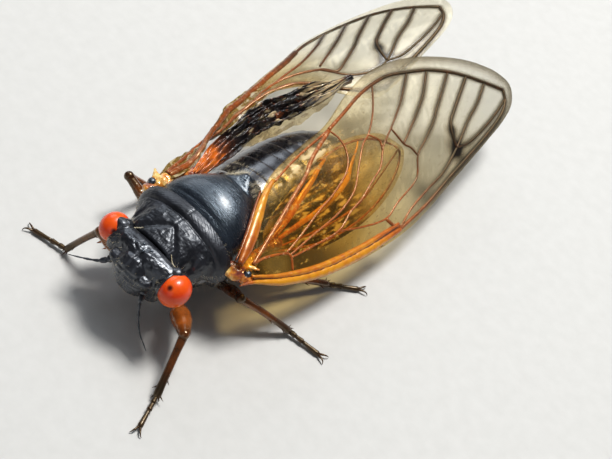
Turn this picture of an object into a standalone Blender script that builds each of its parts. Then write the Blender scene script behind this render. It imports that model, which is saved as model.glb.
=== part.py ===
"""Periodical cicada at life size, standing on its six feet with its wings half folded back.

The insect faces -Y, its left side is +X and the floor is z = 0. Lengths are metres.
The body is laid out with y = 0 at the front of the face, then the whole is moved so that
the middle of its bounding box stands over the origin.
"""

import math

import bmesh
import bpy
from mathutils import Matrix, Vector
from mathutils.geometry import delaunay_2d_cdt

MM = 0.001

# Driving sizes
HEAD_WIDTH = 6.3 * MM
HEAD_OFFSET = 0.22 * MM
FOOT_RADIUS = 0.3 * MM
WING_THICKNESS = 0.5 * MM
VEIN_HEIGHT = 0.28 * MM
GAP = 0.3 * MM
ORIGIN_SHIFT = Vector((-0.65, -19.8, 0.0)) * MM

# Colours of the materials: linear red, green and blue, then roughness
BLACK = ((0.012, 0.012, 0.015), 0.3)
EYE_RED = ((0.72, 0.07, 0.012), 0.15)
BROWN = ((0.2, 0.06, 0.02), 0.35)
MEMBRANE = ((0.5, 0.4, 0.15), 0.2)

SIDES = {"left": 1, "right": -1}


def mm(*values):
    return Vector(values) * MM


# Centre and radii of each eye. The right one sits a little deeper behind the brow.
EYES = {
    "left": (mm(3.64, 2.44, 5.87), mm(1.2, 1.38, 1.3)),
    "right": (mm(-3.31, 2.62, 6.06), mm(1.1, 1.26, 1.18)),
}


def smooth_path(points, steps):
    """Points on a Catmull-Rom curve through the given ones, with this many steps between each two."""
    ends = [2 * points[0] - points[1], *points, 2 * points[-1] - points[-2]]
    path = []
    for before, a, b, after in zip(ends, ends[1:], ends[2:], ends[3:]):
        for step in range(steps):
            t = step / steps
            path.append(
                0.5 * (2 * a + (b - before) * t
                       + (2 * before - 5 * a + 4 * b - after) * t ** 2
                       + (3 * a - before - 3 * b + after) * t ** 3)
            )
    path.append(points[-1])
    return path


def bump(x, width):
    """A smooth hump, 1 at x = 0 and near 0 beyond twice the width."""
    return math.exp(-((x / width) ** 2))


def material(name, look):
    found = bpy.data.materials.get(name)
    if found:
        return found
    made = bpy.data.materials.new(name)
    made.use_nodes = True
    shader = made.node_tree.nodes["Principled BSDF"]
    shader.inputs["Base Color"].default_value = (*look[0], 1.0)
    shader.inputs["Roughness"].default_value = look[1]
    return made


def make_object(name, mesh, collection):
    made = bpy.data.objects.new(name, mesh)
    collection.objects.link(made)
    return made


def new_collection(name):
    made = bpy.data.collections.new(name)
    bpy.context.scene.collection.children.link(made)
    return made


def mesh_from(name, vertices, faces):
    mesh = bpy.data.meshes.new(name)
    mesh.from_pydata([tuple(v) for v in vertices], [], faces)
    return mesh


def loft(name, rings, collection):
    """A closed body through rings of equally many points, each end closed by one face."""
    count = len(rings[0])
    vertices = [point for ring in rings for point in ring]
    faces = []
    for row in range(len(rings) - 1):
        for i in range(count):
            j = (i + 1) % count
            low, high = row * count, (row + 1) * count
            faces.append((low + i, low + j, high + j, high + i))
    faces.append(tuple(reversed(range(count))))
    faces.append(tuple((len(rings) - 1) * count + i for i in range(count)))
    made = make_object(name, mesh_from(name, vertices, faces), collection)
    face_outwards(made)
    return made


def face_outwards(obj):
    shape = bmesh.new()
    shape.from_mesh(obj.data)
    bmesh.ops.recalc_face_normals(shape, faces=shape.faces)
    if shape.calc_volume(signed=True) < 0:
        bmesh.ops.reverse_faces(shape, faces=shape.faces)
    shape.to_mesh(obj.data)
    shape.free()


def ellipsoid(name, centre, radii, collection, tilt=0.0, segments=16, rings=10):
    """An ellipsoid at centre, tilted about the X axis by this many degrees."""
    shape = bmesh.new()
    bmesh.ops.create_uvsphere(shape, u_segments=segments, v_segments=rings, radius=1.0)
    place = (
        Matrix.Translation(centre)
        @ Matrix.Rotation(math.radians(tilt), 4, "X")
        @ Matrix.Diagonal((*radii, 1.0))
    )
    bmesh.ops.transform(shape, matrix=place, verts=shape.verts)
    mesh = bpy.data.meshes.new(name)
    shape.to_mesh(mesh)
    shape.free()
    return make_object(name, mesh, collection)


def tube(name, points, radii, collection, resolution=2):
    """A round tube along a poly curve, with a radius at each point, made a closed mesh."""
    curve = bpy.data.curves.new(name, "CURVE")
    curve.dimensions = "3D"
    curve.bevel_depth = 1.0
    curve.bevel_resolution = resolution
    curve.use_fill_caps = True
    spline = curve.splines.new("POLY")
    spline.points.add(len(points) - 1)
    for spot, point, radius in zip(spline.points, points, radii):
        spot.co = (*point, 1.0)
        spot.radius = radius
    drawn = make_object(name + "_curve", curve, collection)
    bpy.context.view_layer.update()
    graph = bpy.context.evaluated_depsgraph_get()
    mesh = bpy.data.meshes.new_from_object(drawn.evaluated_get(graph))
    bpy.data.objects.remove(drawn)
    shape = bmesh.new()
    shape.from_mesh(mesh)
    bmesh.ops.remove_doubles(shape, verts=shape.verts, dist=0.0005 * MM)
    bmesh.ops.recalc_face_normals(shape, faces=shape.faces)
    shape.to_mesh(mesh)
    shape.free()
    mesh.name = name
    return make_object(name, mesh, collection)


def bake_modifiers(obj):
    """Replaces the object's mesh with its evaluated one."""
    bpy.context.view_layer.update()
    graph = bpy.context.evaluated_depsgraph_get()
    mesh = bpy.data.meshes.new_from_object(obj.evaluated_get(graph))
    obj.modifiers.clear()
    obj.data = mesh


def enclosed_volume(faces):
    """Volume inside a closed set of faces, as a sum of tetrahedra to the origin."""
    total = 0.0
    for face in faces:
        first, *others = [vertex.co for vertex in face.verts]
        for a, b in zip(others, others[1:]):
            total += first.dot(a.cross(b)) / 6
    return total


def keep_largest(obj):
    """Drops all but the largest closed surface of the mesh."""
    shape = bmesh.new()
    shape.from_mesh(obj.data)
    unseen = set(shape.faces)
    surfaces = []
    while unseen:
        surface, front = set(), [unseen.pop()]
        while front:
            face = front.pop()
            surface.add(face)
            near = {other for edge in face.edges for other in edge.link_faces} & unseen
            unseen -= near
            front.extend(near)
        surfaces.append(surface)
    surfaces.sort(key=enclosed_volume)
    for surface in surfaces[:-1]:
        bmesh.ops.delete(shape, geom=list(surface), context="FACES")
    shape.to_mesh(obj.data)
    shape.free()


def join(name, pieces, collection):
    """One closed body from overlapping ones, by a Boolean union on a collection."""
    first, others = pieces[0], pieces[1:]
    operands = new_collection(name + "_pieces")
    for piece in others:
        for home in list(piece.users_collection):
            home.objects.unlink(piece)
        operands.objects.link(piece)
    union = first.modifiers.new("union", "BOOLEAN")
    union.operation = "UNION"
    union.operand_type = "COLLECTION"
    union.collection = operands
    union.solver = "MANIFOLD"
    bake_modifiers(first)
    for piece in others:
        bpy.data.objects.remove(piece)
    bpy.data.collections.remove(operands)
    keep_largest(first)
    first.name = name
    first.data.name = name
    return first


def cut_clear(obj, neighbours, cutters, gap=GAP):
    """Cuts obj back so that it stays a gap away from each neighbour."""
    for neighbour in neighbours:
        cutter = make_object(neighbour.name + "_cutter", neighbour.data.copy(), cutters)
        cutter.hide_render = True
        cutter.display_type = "WIRE"
        grow = cutter.modifiers.new("grow", "DISPLACE")
        grow.mid_level = 0.0
        grow.strength = gap
        cut = obj.modifiers.new("cut", "BOOLEAN")
        cut.object = cutter
        cut.operation = "DIFFERENCE"
        cut.solver = "MANIFOLD"
        bake_modifiers(obj)
        bpy.data.objects.remove(cutter)
    keep_largest(obj)


def stand_on_floor(obj, cutters, level=0.0):
    """Cuts off what would reach below the floor, which leaves a small flat there."""
    shape = bmesh.new()
    bmesh.ops.create_cube(shape, size=100 * MM)
    mesh = bpy.data.meshes.new("floor_cutter")
    shape.to_mesh(mesh)
    shape.free()
    floor = make_object("floor_cutter", mesh, cutters)
    floor.location.z = level - 50 * MM
    floor.hide_render = True
    floor.display_type = "WIRE"
    cut = obj.modifiers.new("cut", "BOOLEAN")
    cut.object = floor
    cut.operation = "DIFFERENCE"
    cut.solver = "MANIFOLD"
    bake_modifiers(obj)
    bpy.data.objects.remove(floor)


# Body

def arch_ring(y, half_width, top, bottom, count, lift=None, squareness=1.0):
    """A closed section across the body: an arch over a flat base, in the plane of this y."""
    ring = []
    for i in range(count):
        angle = math.pi * (i / (count - 1) - 0.5)
        x = half_width * math.sin(angle)
        z = bottom + (top - bottom) * max(math.cos(angle), 0.0) ** squareness
        if lift:
            z += lift(x, y)
        ring.append(Vector((x, y, z)))
    return ring


def round_ring(y, half_width, top, bottom, count, keel=0.0):
    """A closed oval section across the body, its upper half drawn up to a slight keel."""
    middle = bottom + (top - bottom) * 0.42
    ring = []
    for i in range(count):
        angle = 2 * math.pi * i / count
        x = half_width * math.cos(angle)
        reach = top - middle if math.sin(angle) > 0 else middle - bottom
        z = middle + reach * math.sin(angle)
        if math.sin(angle) > 0:
            z += keel * bump(x / half_width, 0.35)
        ring.append(Vector((x, y, z)))
    return ring


def make_head(body, work):
    """The head capsule lies across the body, with the bulging face plate in front."""
    stations, count = 17, 16
    rings = []
    for i in range(stations):
        t = 2 * i / (stations - 1) - 1
        close = max(1 - abs(t) ** 5, 0.0) ** 0.5
        squeeze = 0.3 + 0.7 * close
        front, back = (1.0 + 0.75 * t * t) * MM, (3.15 + 0.15 * t * t) * MM
        top, bottom = (7.45 - 0.45 * t * t) * MM, (3.3 + 1.3 * t * t) * MM
        middle = Vector((HEAD_OFFSET + t * HEAD_WIDTH / 2, (front + back) / 2, (top + bottom) / 2))
        ring = []
        for k in range(count):
            angle = 2 * math.pi * k / count
            y = (back - front) / 2 * squeeze * math.cos(angle)
            z = (top - bottom) / 2 * squeeze * math.sin(angle)
            ring.append(middle + Vector((0, y, z)))
        rings.append(ring)
    capsule = loft("head", rings, body)
    aside = Vector((HEAD_OFFSET, 0, 0))
    face = ellipsoid("face", aside + mm(0, 1.85, 4.85), mm(1.85, 1.5, 2.3), work, tilt=20)
    snout = ellipsoid("snout", aside + mm(0, 2.95, 2.75), mm(0.85, 0.8, 1.0), work, tilt=30)
    pieces = [capsule, face, snout]
    for side in SIDES.values():
        pieces.append(ellipsoid("brow", aside + mm(side * 1.4, 1.15, 5.85), mm(0.7, 0.65, 0.4), work))
    return join("head", pieces, body)


def make_eye(side_name, head, body, cutters):
    centre, radii = EYES[side_name]
    eye = ellipsoid("eye_" + side_name, centre, radii, body, segments=16, rings=10)
    cut_clear(eye, [head], cutters)
    return eye


def make_antenna(name, points, head, body, cutters):
    """A short thick foot, then a bristle that thins to its tip."""
    radii = [0.34, 0.34, 0.3, 0.26, 0.25, 0.22, 0.12]
    antenna = tube(name, [mm(*p) for p in points], [r * MM for r in radii], body)
    cut_clear(antenna, [head], cutters)
    return antenna


def furrows(x, y):
    """Two slanting furrows on each side: the inner ones meet in the middle before the collar."""
    across, along = abs(x) / MM, y / MM
    apex = 5.15
    inner = bump(across - (0.14 + 1.12 * max(apex - along, 0.0)), 0.3) * bump(along - 4.3, 0.95)
    outer = bump(across - (3.15 - 0.3 * (along - 4.2)), 0.42) * bump(along - 4.5, 0.9)
    collar = bump(along - 6.35, 0.22)
    return -(0.3 * inner + 0.45 * outer + 0.22 * collar) * MM


def make_pronotum(body):
    """The plate behind the head, with furrows and a raised collar along its rear edge."""
    stations = [mm(y, a, top) for y, a, top in (
        (3.45, 3.05, 7.45), (4.2, 3.4, 7.75), (5.2, 3.7, 8.0), (6.1, 4.35, 8.15),
        (6.7, 4.75, 8.35), (7.35, 4.85, 8.3))]
    rings = []
    for y, half_width, top in smooth_path(stations, 2):
        rings.append(arch_ring(y, half_width, top, 5.0 * MM, 27, furrows, 0.8))
    return loft("pronotum", rings, body)


def cross_ridges(x, y):
    """The raised cross at the rear of the mesonotum, and the dip before it."""
    across, along = abs(x) / MM, y / MM - 13.1
    arms = bump(across - abs(along), 0.42) * bump(along, 0.95)
    hub = bump(across, 0.8) * bump(along, 0.6)
    dip = bump(along + 1.2, 0.36) * bump(across, 1.7)
    return (0.32 * arms + 0.3 * hub - 0.22 * dip) * MM


def make_mesonotum(body):
    """The great smooth dome of the back, narrowing to the raised cross behind."""
    stations = [mm(y, a, top) for y, a, top in (
        (7.55, 3.9, 8.25), (8.4, 4.15, 8.8), (9.6, 3.95, 9.1), (10.8, 3.3, 9.0), (11.8, 2.65, 8.7),
        (12.6, 2.15, 8.35), (13.4, 1.85, 8.1), (14.1, 1.5, 7.7))]
    rings = []
    for y, half_width, top in smooth_path(stations, 2):
        rings.append(arch_ring(y, half_width, top, 5.5 * MM, 23, cross_ridges, 0.85))
    return loft("mesonotum", rings, body)


COXAE = {
    "front": (mm(2.1, 4.9, 3.0), mm(2.9, 4.5, 2.1), 0.85 * MM),
    "middle": (mm(2.7, 8.9, 3.0), mm(3.7, 8.7, 2.2), 0.85 * MM),
    "hind": (mm(2.6, 12.2, 2.8), mm(3.4, 12.2, 2.0), 0.8 * MM),
}


def mirrored(point, side):
    return Vector((point.x * side, point.y, point.z))


def make_thorax(plates, body, work, cutters):
    """Sides and underside of the thorax, with the six hip joints that the legs grow from."""
    stations = [mm(y, a, top, bottom) for y, a, top, bottom in (
        (3.8, 2.4, 6.6, 3.3), (5.0, 3.3, 7.0, 2.5), (7.0, 3.95, 7.5, 2.0), (9.0, 4.25, 7.8, 1.7),
        (11.0, 4.3, 7.6, 1.5), (12.6, 4.2, 7.2, 1.4), (13.9, 4.1, 6.9, 1.3))]
    stations = [Vector(station) for station in stations]
    rings = []
    for y, half_width, top, bottom in smooth_path(stations, 2):
        rings.append(round_ring(y, half_width, top, bottom, 24))
    pieces = [loft("thorax", rings, body)]
    for root, tip, radius in COXAE.values():
        for side in SIDES.values():
            points = [mirrored(root, side), mirrored(root.lerp(tip, 0.6), side), mirrored(tip, side)]
            pieces.append(tube("coxa", points, [radius, radius * 0.95, radius * 0.6], work))
    thorax = join("thorax", pieces, body)
    cut_clear(thorax, plates, cutters)
    return thorax


SEGMENTS = 8
ABDOMEN_START, ABDOMEN_END = 14.25 * MM, 25.4 * MM


def abdomen_size(t):
    """Half width, top and bottom of the abdomen, from its front (t = 0) to its rear (t = 1)."""
    half_width = (4.25 + 0.35 * math.sin(math.pi * t) - 1.5 * t ** 5) * MM
    top = (6.75 - 0.75 * t ** 2 - 0.55 * t ** 6) * MM
    bottom = (1.2 - 0.6 * math.sin(math.pi * t) + 0.5 * t ** 3) * MM
    return half_width, top, bottom


def make_abdomen(body):
    """Overlapping rings: each swells a little towards its rear edge, then steps in."""
    rings = []
    for segment in range(SEGMENTS):
        for share, swell in ((0.0, -0.12), (0.45, 0.0), (0.97, 0.05)):
            t = (segment + share) / SEGMENTS
            half_width, top, bottom = abdomen_size(t)
            y = ABDOMEN_START + t * (ABDOMEN_END - ABDOMEN_START)
            edge = swell * MM
            rings.append(round_ring(y, half_width + edge, top + edge, bottom - edge, 24, 0.15 * MM))
    return loft("abdomen", rings, body)


def make_abdomen_tip(body, abdomen, cutters):
    stations = [mm(y, a, top, bottom) for y, a, top, bottom in (
        (25.2, 2.9, 5.3, 1.6), (26.0, 2.35, 5.0, 1.7), (26.7, 1.5, 4.5, 1.9), (27.1, 0.6, 3.9, 2.4))]
    stations = [Vector(station) for station in stations]
    rings = [round_ring(*station, 20) for station in smooth_path(stations, 2)]
    tip = loft("abdomen_tip", rings, body)
    cut_clear(tip, [abdomen], cutters)
    return tip


def make_beak(head, thorax, body, cutters):
    """The sucking beak lies back between the front hips."""
    points = [mm(0, 2.9, 1.9), mm(0, 4.0, 1.55), mm(0, 5.6, 1.25), mm(0, 7.4, 0.95)]
    beak = tube("beak", points, [r * MM for r in (0.42, 0.38, 0.32, 0.25)], body)
    cut_clear(beak, [head, thorax], cutters)
    return beak


# Legs: knee, ankle and toe of each, as seen in the pose. The hips are the coxae above.
# FOOT_AXIS is the height of a foot's middle line, in millimetres: a little below its radius, so
# that the floor cuts a small flat.

FOOT_AXIS = 0.22
LEGS = {
    ("front", "left"): (mm(6.0, 1.95, 3.4), mm(7.75, -1.75, 0.5), mm(8.85, -4.4, FOOT_AXIS)),
    ("front", "right"): (mm(-4.75, 2.95, 3.8), mm(-6.55, 1.85, 0.5), mm(-9.6, 1.1, FOOT_AXIS)),
    ("middle", "left"): (mm(6.2, 7.75, 3.7), mm(9.5, 11.2, 0.45), mm(12.4, 11.7, FOOT_AXIS)),
    ("middle", "right"): (mm(-7.5, 8.45, 4.2), mm(-7.0, 12.0, 0.45), mm(-7.1, 14.8, FOOT_AXIS)),
    ("hind", "left"): (mm(5.7, 11.9, 2.9), mm(8.1, 17.4, 0.45), mm(9.9, 19.4, FOOT_AXIS)),
    ("hind", "right"): (mm(-5.7, 11.9, 2.9), mm(-7.2, 17.3, 0.45), mm(-7.9, 19.9, FOOT_AXIS)),
}
FEMUR_RADII = {"front": (0.62, 0.85, 0.5), "middle": (0.5, 0.55, 0.42), "hind": (0.5, 0.55, 0.42)}


def make_femur(name, pair, hip, knee, thorax, body, work, cutters):
    """The thigh. The front one is stout, with two teeth below."""
    radii = [r * MM for r in FEMUR_RADII[pair]]
    points = [hip, hip.lerp(knee, 0.4), knee]
    points.append(knee + (knee - hip).normalized() * 0.25 * MM)
    pieces = [tube(name, points, [*radii, radii[-1] * 0.7], body, 2)]
    if pair == "front":
        down = Vector((0, 0, -1))
        for share, length in ((0.5, 1.25), (0.75, 0.95)):
            root = hip.lerp(knee, share)
            tip = root + (down + (knee - hip).normalized() * 0.5).normalized() * length * MM
            pieces.append(tube("tooth", [root, tip], [0.3 * MM, 0.08 * MM], work, 1))
    femur = join(name, pieces, body) if len(pieces) > 1 else pieces[0]
    cut_clear(femur, [thorax], cutters)
    return femur


def make_tibia(name, pair, knee, ankle, femur, body, work, cutters):
    """The shin, with a row of spurs on the hind leg."""
    bend = knee.lerp(ankle, 0.5) + Vector((0, 0, 0.12 * MM))
    pieces = [tube(name, [knee, bend, ankle], [0.34 * MM, 0.3 * MM, 0.33 * MM], body, 2)]
    spurs = 4 if pair == "hind" else 2
    outward = (ankle - knee).cross(Vector((0, 0, 1))).normalized()
    for i in range(spurs):
        root = knee.lerp(ankle, 0.95 - 0.18 * (i // 2 if pair != "hind" else i))
        side = outward if i % 2 else -outward
        tip = root + (side + (ankle - knee).normalized()) * 0.42 * MM
        pieces.append(tube("spur", [root, tip], [0.2 * MM, 0.06 * MM], work, 1))
    tibia = join(name, pieces, body)
    cut_clear(tibia, [femur], cutters)
    stand_on_floor(tibia, cutters, 0.05 * MM)
    return tibia


def make_tarsus(name, ankle, toe, tibia, body, work, cutters):
    """The foot lies on the floor and ends in two curved claws."""
    along = (toe - ankle).normalized()
    aside = along.cross(Vector((0, 0, 1))).normalized()
    heel = ankle + along * 0.1 * MM
    points = [heel, heel.lerp(toe, 0.3), heel.lerp(toe, 0.62), toe]
    radii = [0.26 * MM, FOOT_RADIUS, FOOT_RADIUS, FOOT_RADIUS]
    pieces = [tube(name, points, radii, body, 2)]
    for turn in (-1, 1):
        claw = [toe - along * 0.1 * MM, toe + (along * 0.4 + aside * turn * 0.28) * MM,
                toe + (along * 0.65 + aside * turn * 0.34) * MM - Vector((0, 0, 0.12 * MM))]
        pieces.append(tube("claw", claw, [0.2 * MM, 0.14 * MM, 0.06 * MM], work, 1))
    tarsus = join(name, pieces, body)
    cut_clear(tarsus, [tibia], cutters)
    stand_on_floor(tarsus, cutters)
    return tarsus


def make_legs(thorax, body, work, cutters):
    for (pair, side_name), (knee, ankle, toe) in LEGS.items():
        side = SIDES[side_name]
        root, tip, _ = COXAE[pair]
        hip = mirrored(tip + (tip - root).normalized() * 0.15 * MM, side)
        name = f"leg_{pair}_{side_name}"
        femur = make_femur(name + "_femur", pair, hip, knee, thorax, body, work, cutters)
        tibia = make_tibia(name + "_tibia", pair, knee, ankle, femur, body, work, cutters)
        make_tarsus(name + "_tarsus", ankle, toe, tibia, body, work, cutters)


# Wings: flat layouts in millimetres, u from the root to the tip and w from the leading edge (-)
# to the trailing edge (+). A vein is its half width, its height as a share of VEIN_HEIGHT, and
# the points that it passes through.

FOREWING_OUTLINE = (
    (0.0, -1.5), (2.8, -3.0), (6.8, -4.2), (11.5, -4.95), (16.8, -5.15), (20.5, -4.7), (24.8, -3.8),
    (30.0, -2.75), (33.7, -1.9), (35.6, -1.0), (36.4, 0.3), (36.0, 1.7), (34.2, 3.7), (31.2, 5.7),
    (27.3, 7.3), (23.5, 7.8), (19.4, 7.2), (14.9, 5.85), (11.5, 5.45), (7.0, 4.7), (3.9, 3.1),
    (1.6, 1.6), (0.0, 0.8))
FOREWING_VEINS = {
    "costa": (0.42, 1.5, ((0.5, -1.4), (2.9, -2.6), (6.8, -3.8), (11.5, -4.5), (16.7, -4.72))),
    "ambient_front": (0.26, 1.0, ((16.7, -4.7), (20.5, -4.25), (24.8, -3.35), (30.2, -2.3),
                                  (33.4, -1.45), (34.8, -0.6), (35.3, 0.4))),
    "ambient_rear": (0.26, 1.0, ((35.3, 0.4), (33.6, 1.9), (32.1, 3.2), (30.6, 4.3), (28.6, 5.4),
                                 (26.4, 6.15), (24.4, 6.7), (22.2, 6.75), (20.0, 6.5), (17.8, 6.0),
                                 (15.0, 5.4))),
    "claval_edge": (0.26, 1.0, ((15.0, 5.4), (11.5, 5.0), (9.3, 4.65), (7.0, 4.15))),
    "root_edge": (0.36, 1.4, ((7.0, 4.25), (5.5, 3.6), (3.9, 2.65), (2.2, 1.55), (0.5, 0.5))),
    "clavus": (0.24, 1.0, ((0.9, -0.3), (2.6, 0.4), (5.2, 1.4), (8.0, 2.5), (9.9, 3.2), (11.1, 3.9),
                           (12.5, 4.5), (14.9, 5.3))),
    "basal_cell": (0.24, 1.0, ((0.9, -0.3), (2.3, -0.4), (4.2, -1.0), (4.5, -1.5), (4.1, -2.4))),
    "media": (0.24, 1.0, ((4.5, -1.5), (6.9, -1.7), (10.1, -1.85), (12.2, -1.1), (14.0, -0.7),
                          (15.8, 0.0), (17.4, 0.6), (18.9, 1.9), (21.1, 3.0), (23.4, 4.2),
                          (25.3, 5.4), (26.4, 6.1))),
    "media_front": (0.24, 1.0, ((10.1, -1.85), (12.7, -2.7), (15.5, -3.25), (17.5, -2.65),
                                (20.5, -1.9), (21.9, -0.3), (23.6, 0.5), (25.5, 1.4), (27.0, 2.35),
                                (30.5, 4.35))),
    "node_bar": (0.26, 1.2, ((15.5, -3.25), (16.0, -4.0), (16.8, -4.6))),
    "radius": (0.24, 1.0, ((16.8, -4.6), (18.6, -3.8), (21.3, -3.2), (23.8, -2.75), (26.6, -1.6),
                           (29.3, -0.2), (31.5, 0.7), (33.6, 1.85))),
    "radius_tip": (0.22, 1.0, ((26.6, -1.6), (28.2, -1.85), (30.6, -1.55), (33.1, -1.0),
                               (34.9, -0.4))),
    "wave_bar": (0.3, 1.2, ((26.6, -1.6), (26.8, -0.5), (27.3, 0.5), (28.2, 1.1), (30.0, 2.1),
                            (32.1, 3.2))),
    "cubitus": (0.24, 1.0, ((4.2, -1.0), (6.6, -0.4), (9.4, 0.4), (11.2, 0.8), (13.5, 1.6),
                            (14.6, 2.4), (15.2, 3.4), (15.3, 4.4), (15.0, 5.3))),
    "cubitus_front": (0.24, 1.0, ((4.5, -1.3), (7.3, -1.0), (10.6, -0.7), (12.4, -0.3), (13.8, 0.3),
                                  (15.2, 1.5), (17.0, 2.9), (18.2, 3.4), (19.6, 4.3), (20.8, 5.3),
                                  (22.2, 6.7))),
    "cross_rear": (0.22, 1.0, ((18.6, 1.7), (18.9, 2.5), (18.2, 3.4))),
    "cross_middle": (0.22, 1.0, ((21.9, -0.3), (21.6, 0.6), (21.1, 1.2), (20.8, 2.8))),
    "apical": (0.22, 1.0, ((21.1, 1.2), (23.2, 2.2), (25.0, 3.1), (26.4, 3.9), (28.5, 5.4))),
}
HINDWING_OUTLINE = (
    (3.4, -0.6), (5.8, -1.5), (9.5, -2.5), (14.0, -2.6), (18.0, -1.8), (20.8, -0.4), (21.6, 1.1),
    (20.6, 2.6), (18.2, 3.7), (15.6, 4.1), (13.0, 4.0), (10.5, 3.4), (8.0, 2.7), (5.6, 1.9),
    (3.6, 0.9))
HINDWING_VEINS = {
    "edge": (0.26, 0.8, ((3.8, -0.4), (5.8, -1.15), (9.5, -2.1), (14.0, -2.2), (17.8, -1.4),
                         (20.4, -0.1), (21.1, 1.1), (20.2, 2.2), (18.0, 3.3), (15.6, 3.7),
                         (13.0, 3.6))),
    "media": (0.24, 0.8, ((3.8, -0.2), (6.0, -0.6), (10.0, -1.1), (14.0, -1.1), (17.2, -0.3),
                          (20.9, 0.9))),
    "cubitus": (0.28, 0.8, ((3.9, 0.1), (7.0, 0.2), (10.5, 0.3), (13.6, 0.9), (15.4, 1.7),
                            (17.6, 3.3))),
    "fold": (0.34, 0.8, ((3.9, 0.3), (6.0, 0.9), (8.6, 1.7), (10.6, 2.4), (12.2, 3.1),
                         (13.6, 3.5))),
}

WING_ROOT = mm(5.2, 7.9, 6.5)
WING_TILT, WING_YAW, WING_PITCH = (math.radians(a) for a in (30.0, -1.1, -1.5))
WING_CAMBER = 0.028 / MM
HINDWING_DROP = 0.98 * MM


def wing_axes():
    """Directions along the left wing, across it towards the trailing edge, and out of it."""
    along = Vector((math.sin(WING_YAW) * math.cos(WING_PITCH),
                    math.cos(WING_YAW) * math.cos(WING_PITCH), math.sin(WING_PITCH)))
    across = Vector((-math.cos(WING_TILT), 0.0, math.sin(WING_TILT)))
    across = (across - along * across.dot(along)).normalized()
    return along, across, across.cross(along).normalized() * -1


def left_forewing_point(u, w):
    along, across, out = wing_axes()
    return WING_ROOT + along * u + across * w - out * WING_CAMBER * w * w


def left_hindwing_point(u, w):
    """Under the forewing, with the soft folds of its trailing part."""
    _, _, out = wing_axes()
    fold = 0.1 * MM * math.sin(w / MM * 2.6) * min(max(w / MM, 0.0), 1.0)
    return left_forewing_point(u, w) - out * (HINDWING_DROP - fold)


# The right forewing stayed folded: a narrow strand that turns over on its way back, so that its
# open outer half lies upside down, leading edge towards the body.
RIGHT_FOREWING_OUTLINE = (
    (0.0, 2.6), (3.0, 2.2), (9.0, 2.2), (14.0, 2.1), (17.0, 1.0), (20.0, -1.6), (22.4, -3.4),
    (24.8, -3.8), (30.0, -2.75), (33.7, -1.9), (35.6, -1.0), (36.4, 0.3), (36.0, 1.7), (34.2, 3.7),
    (31.2, 5.5), (27.3, 6.8), (24.0, 6.4), (21.0, 5.2), (18.0, 4.3), (14.0, 3.9), (9.0, 3.8),
    (3.0, 3.8), (0.0, 3.4))
RIGHT_FOREWING_VEINS = {
    "costa": (0.3, 1.3, ((0.7, 2.9), (5.0, 2.55), (10.0, 2.6), (14.0, 2.5), (17.5, 1.2),
                         (20.5, -1.4), (22.8, -2.8), (24.8, -3.35))),
    "ambient_front": (0.26, 1.0, ((24.8, -3.35), (30.2, -2.3), (33.4, -1.45), (34.8, -0.6),
                                  (35.3, 0.4))),
    "ambient_rear": (0.26, 1.0, ((35.3, 0.4), (33.6, 1.9), (32.1, 3.2), (30.6, 4.3), (28.6, 5.2),
                                 (26.4, 5.8), (24.2, 5.8), (22.2, 5.2))),
    "rear_strand": (0.28, 1.3, ((0.7, 3.15), (5.0, 3.4), (10.0, 3.4), (14.0, 3.45), (18.0, 3.8),
                                (20.3, 4.4), (22.2, 5.2))),
    "media_front": (0.26, 1.2, ((14.0, 2.5), (17.4, 2.4), (20.8, 1.0), (21.9, -0.1), (23.6, 0.5),
                                (25.5, 1.4), (27.0, 2.35), (30.5, 4.35))),
    "media": (0.24, 1.0, ((17.4, 2.4), (20.5, 2.9), (23.4, 4.0), (25.3, 5.1), (26.4, 5.8))),
    "radius": (0.24, 1.0, ((20.8, 1.0), (22.4, -0.9), (24.4, -1.7), (26.6, -1.6), (29.3, -0.2),
                           (31.5, 0.7), (33.6, 1.85))),
    "radius_tip": (0.22, 1.0, ((26.6, -1.6), (28.2, -1.85), (30.6, -1.55), (33.1, -1.0),
                               (34.9, -0.4))),
    "wave_bar": (0.3, 1.2, ((26.6, -1.6), (26.8, -0.5), (27.3, 0.5), (28.2, 1.1), (30.0, 2.1),
                            (32.1, 3.2))),
    "apical": (0.22, 1.0, ((21.2, 1.3), (23.2, 2.2), (25.0, 3.1), (26.4, 3.9), (28.5, 5.2))),
}
RIGHT_SPINE = tuple(mm(*p) for p in (
    (-4.6, 8.7, 6.7), (-4.95, 11.3, 6.4), (-5.6, 14.0, 6.1), (-6.5, 16.8, 5.9), (-7.2, 19.7, 5.7),
    (-7.7, 22.7, 5.5), (-8.25, 25.7, 5.5), (-8.1, 28.7, 5.9)))
SPINE_STEP = 3.0 * MM
SPINE_W = 3.0 * MM
RIGHT_OUTER = mm(-4.84, 38.33, 7.46)
RIGHT_OUTER_U = 30.0 * MM
RIGHT_YAW, RIGHT_PITCH, RIGHT_TILT = (math.radians(a) for a in (3.4, 7.2, -5.8))
RIGHT_CURL = 0.08 / MM
HALF_TURN = math.radians(211)


def ease(value, low, high):
    """0 below low, 1 above high and a smooth rise between them."""
    t = min(max((value - low) / (high - low), 0.0), 1.0)
    return t * t * (3 - 2 * t)


def right_outer_point(u, w):
    """The open outer half, its trailing side curled down."""
    along = Vector((math.sin(RIGHT_YAW) * math.cos(RIGHT_PITCH),
                    math.cos(RIGHT_YAW) * math.cos(RIGHT_PITCH), math.sin(RIGHT_PITCH)))
    across = Vector((-math.cos(RIGHT_TILT), 0.0, math.sin(RIGHT_TILT)))
    across = (across - along * across.dot(along)).normalized()
    out = along.cross(across)
    out *= math.copysign(1, out.z)
    return RIGHT_OUTER + along * (u - RIGHT_OUTER_U) + across * w - out * RIGHT_CURL * w * w


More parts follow.
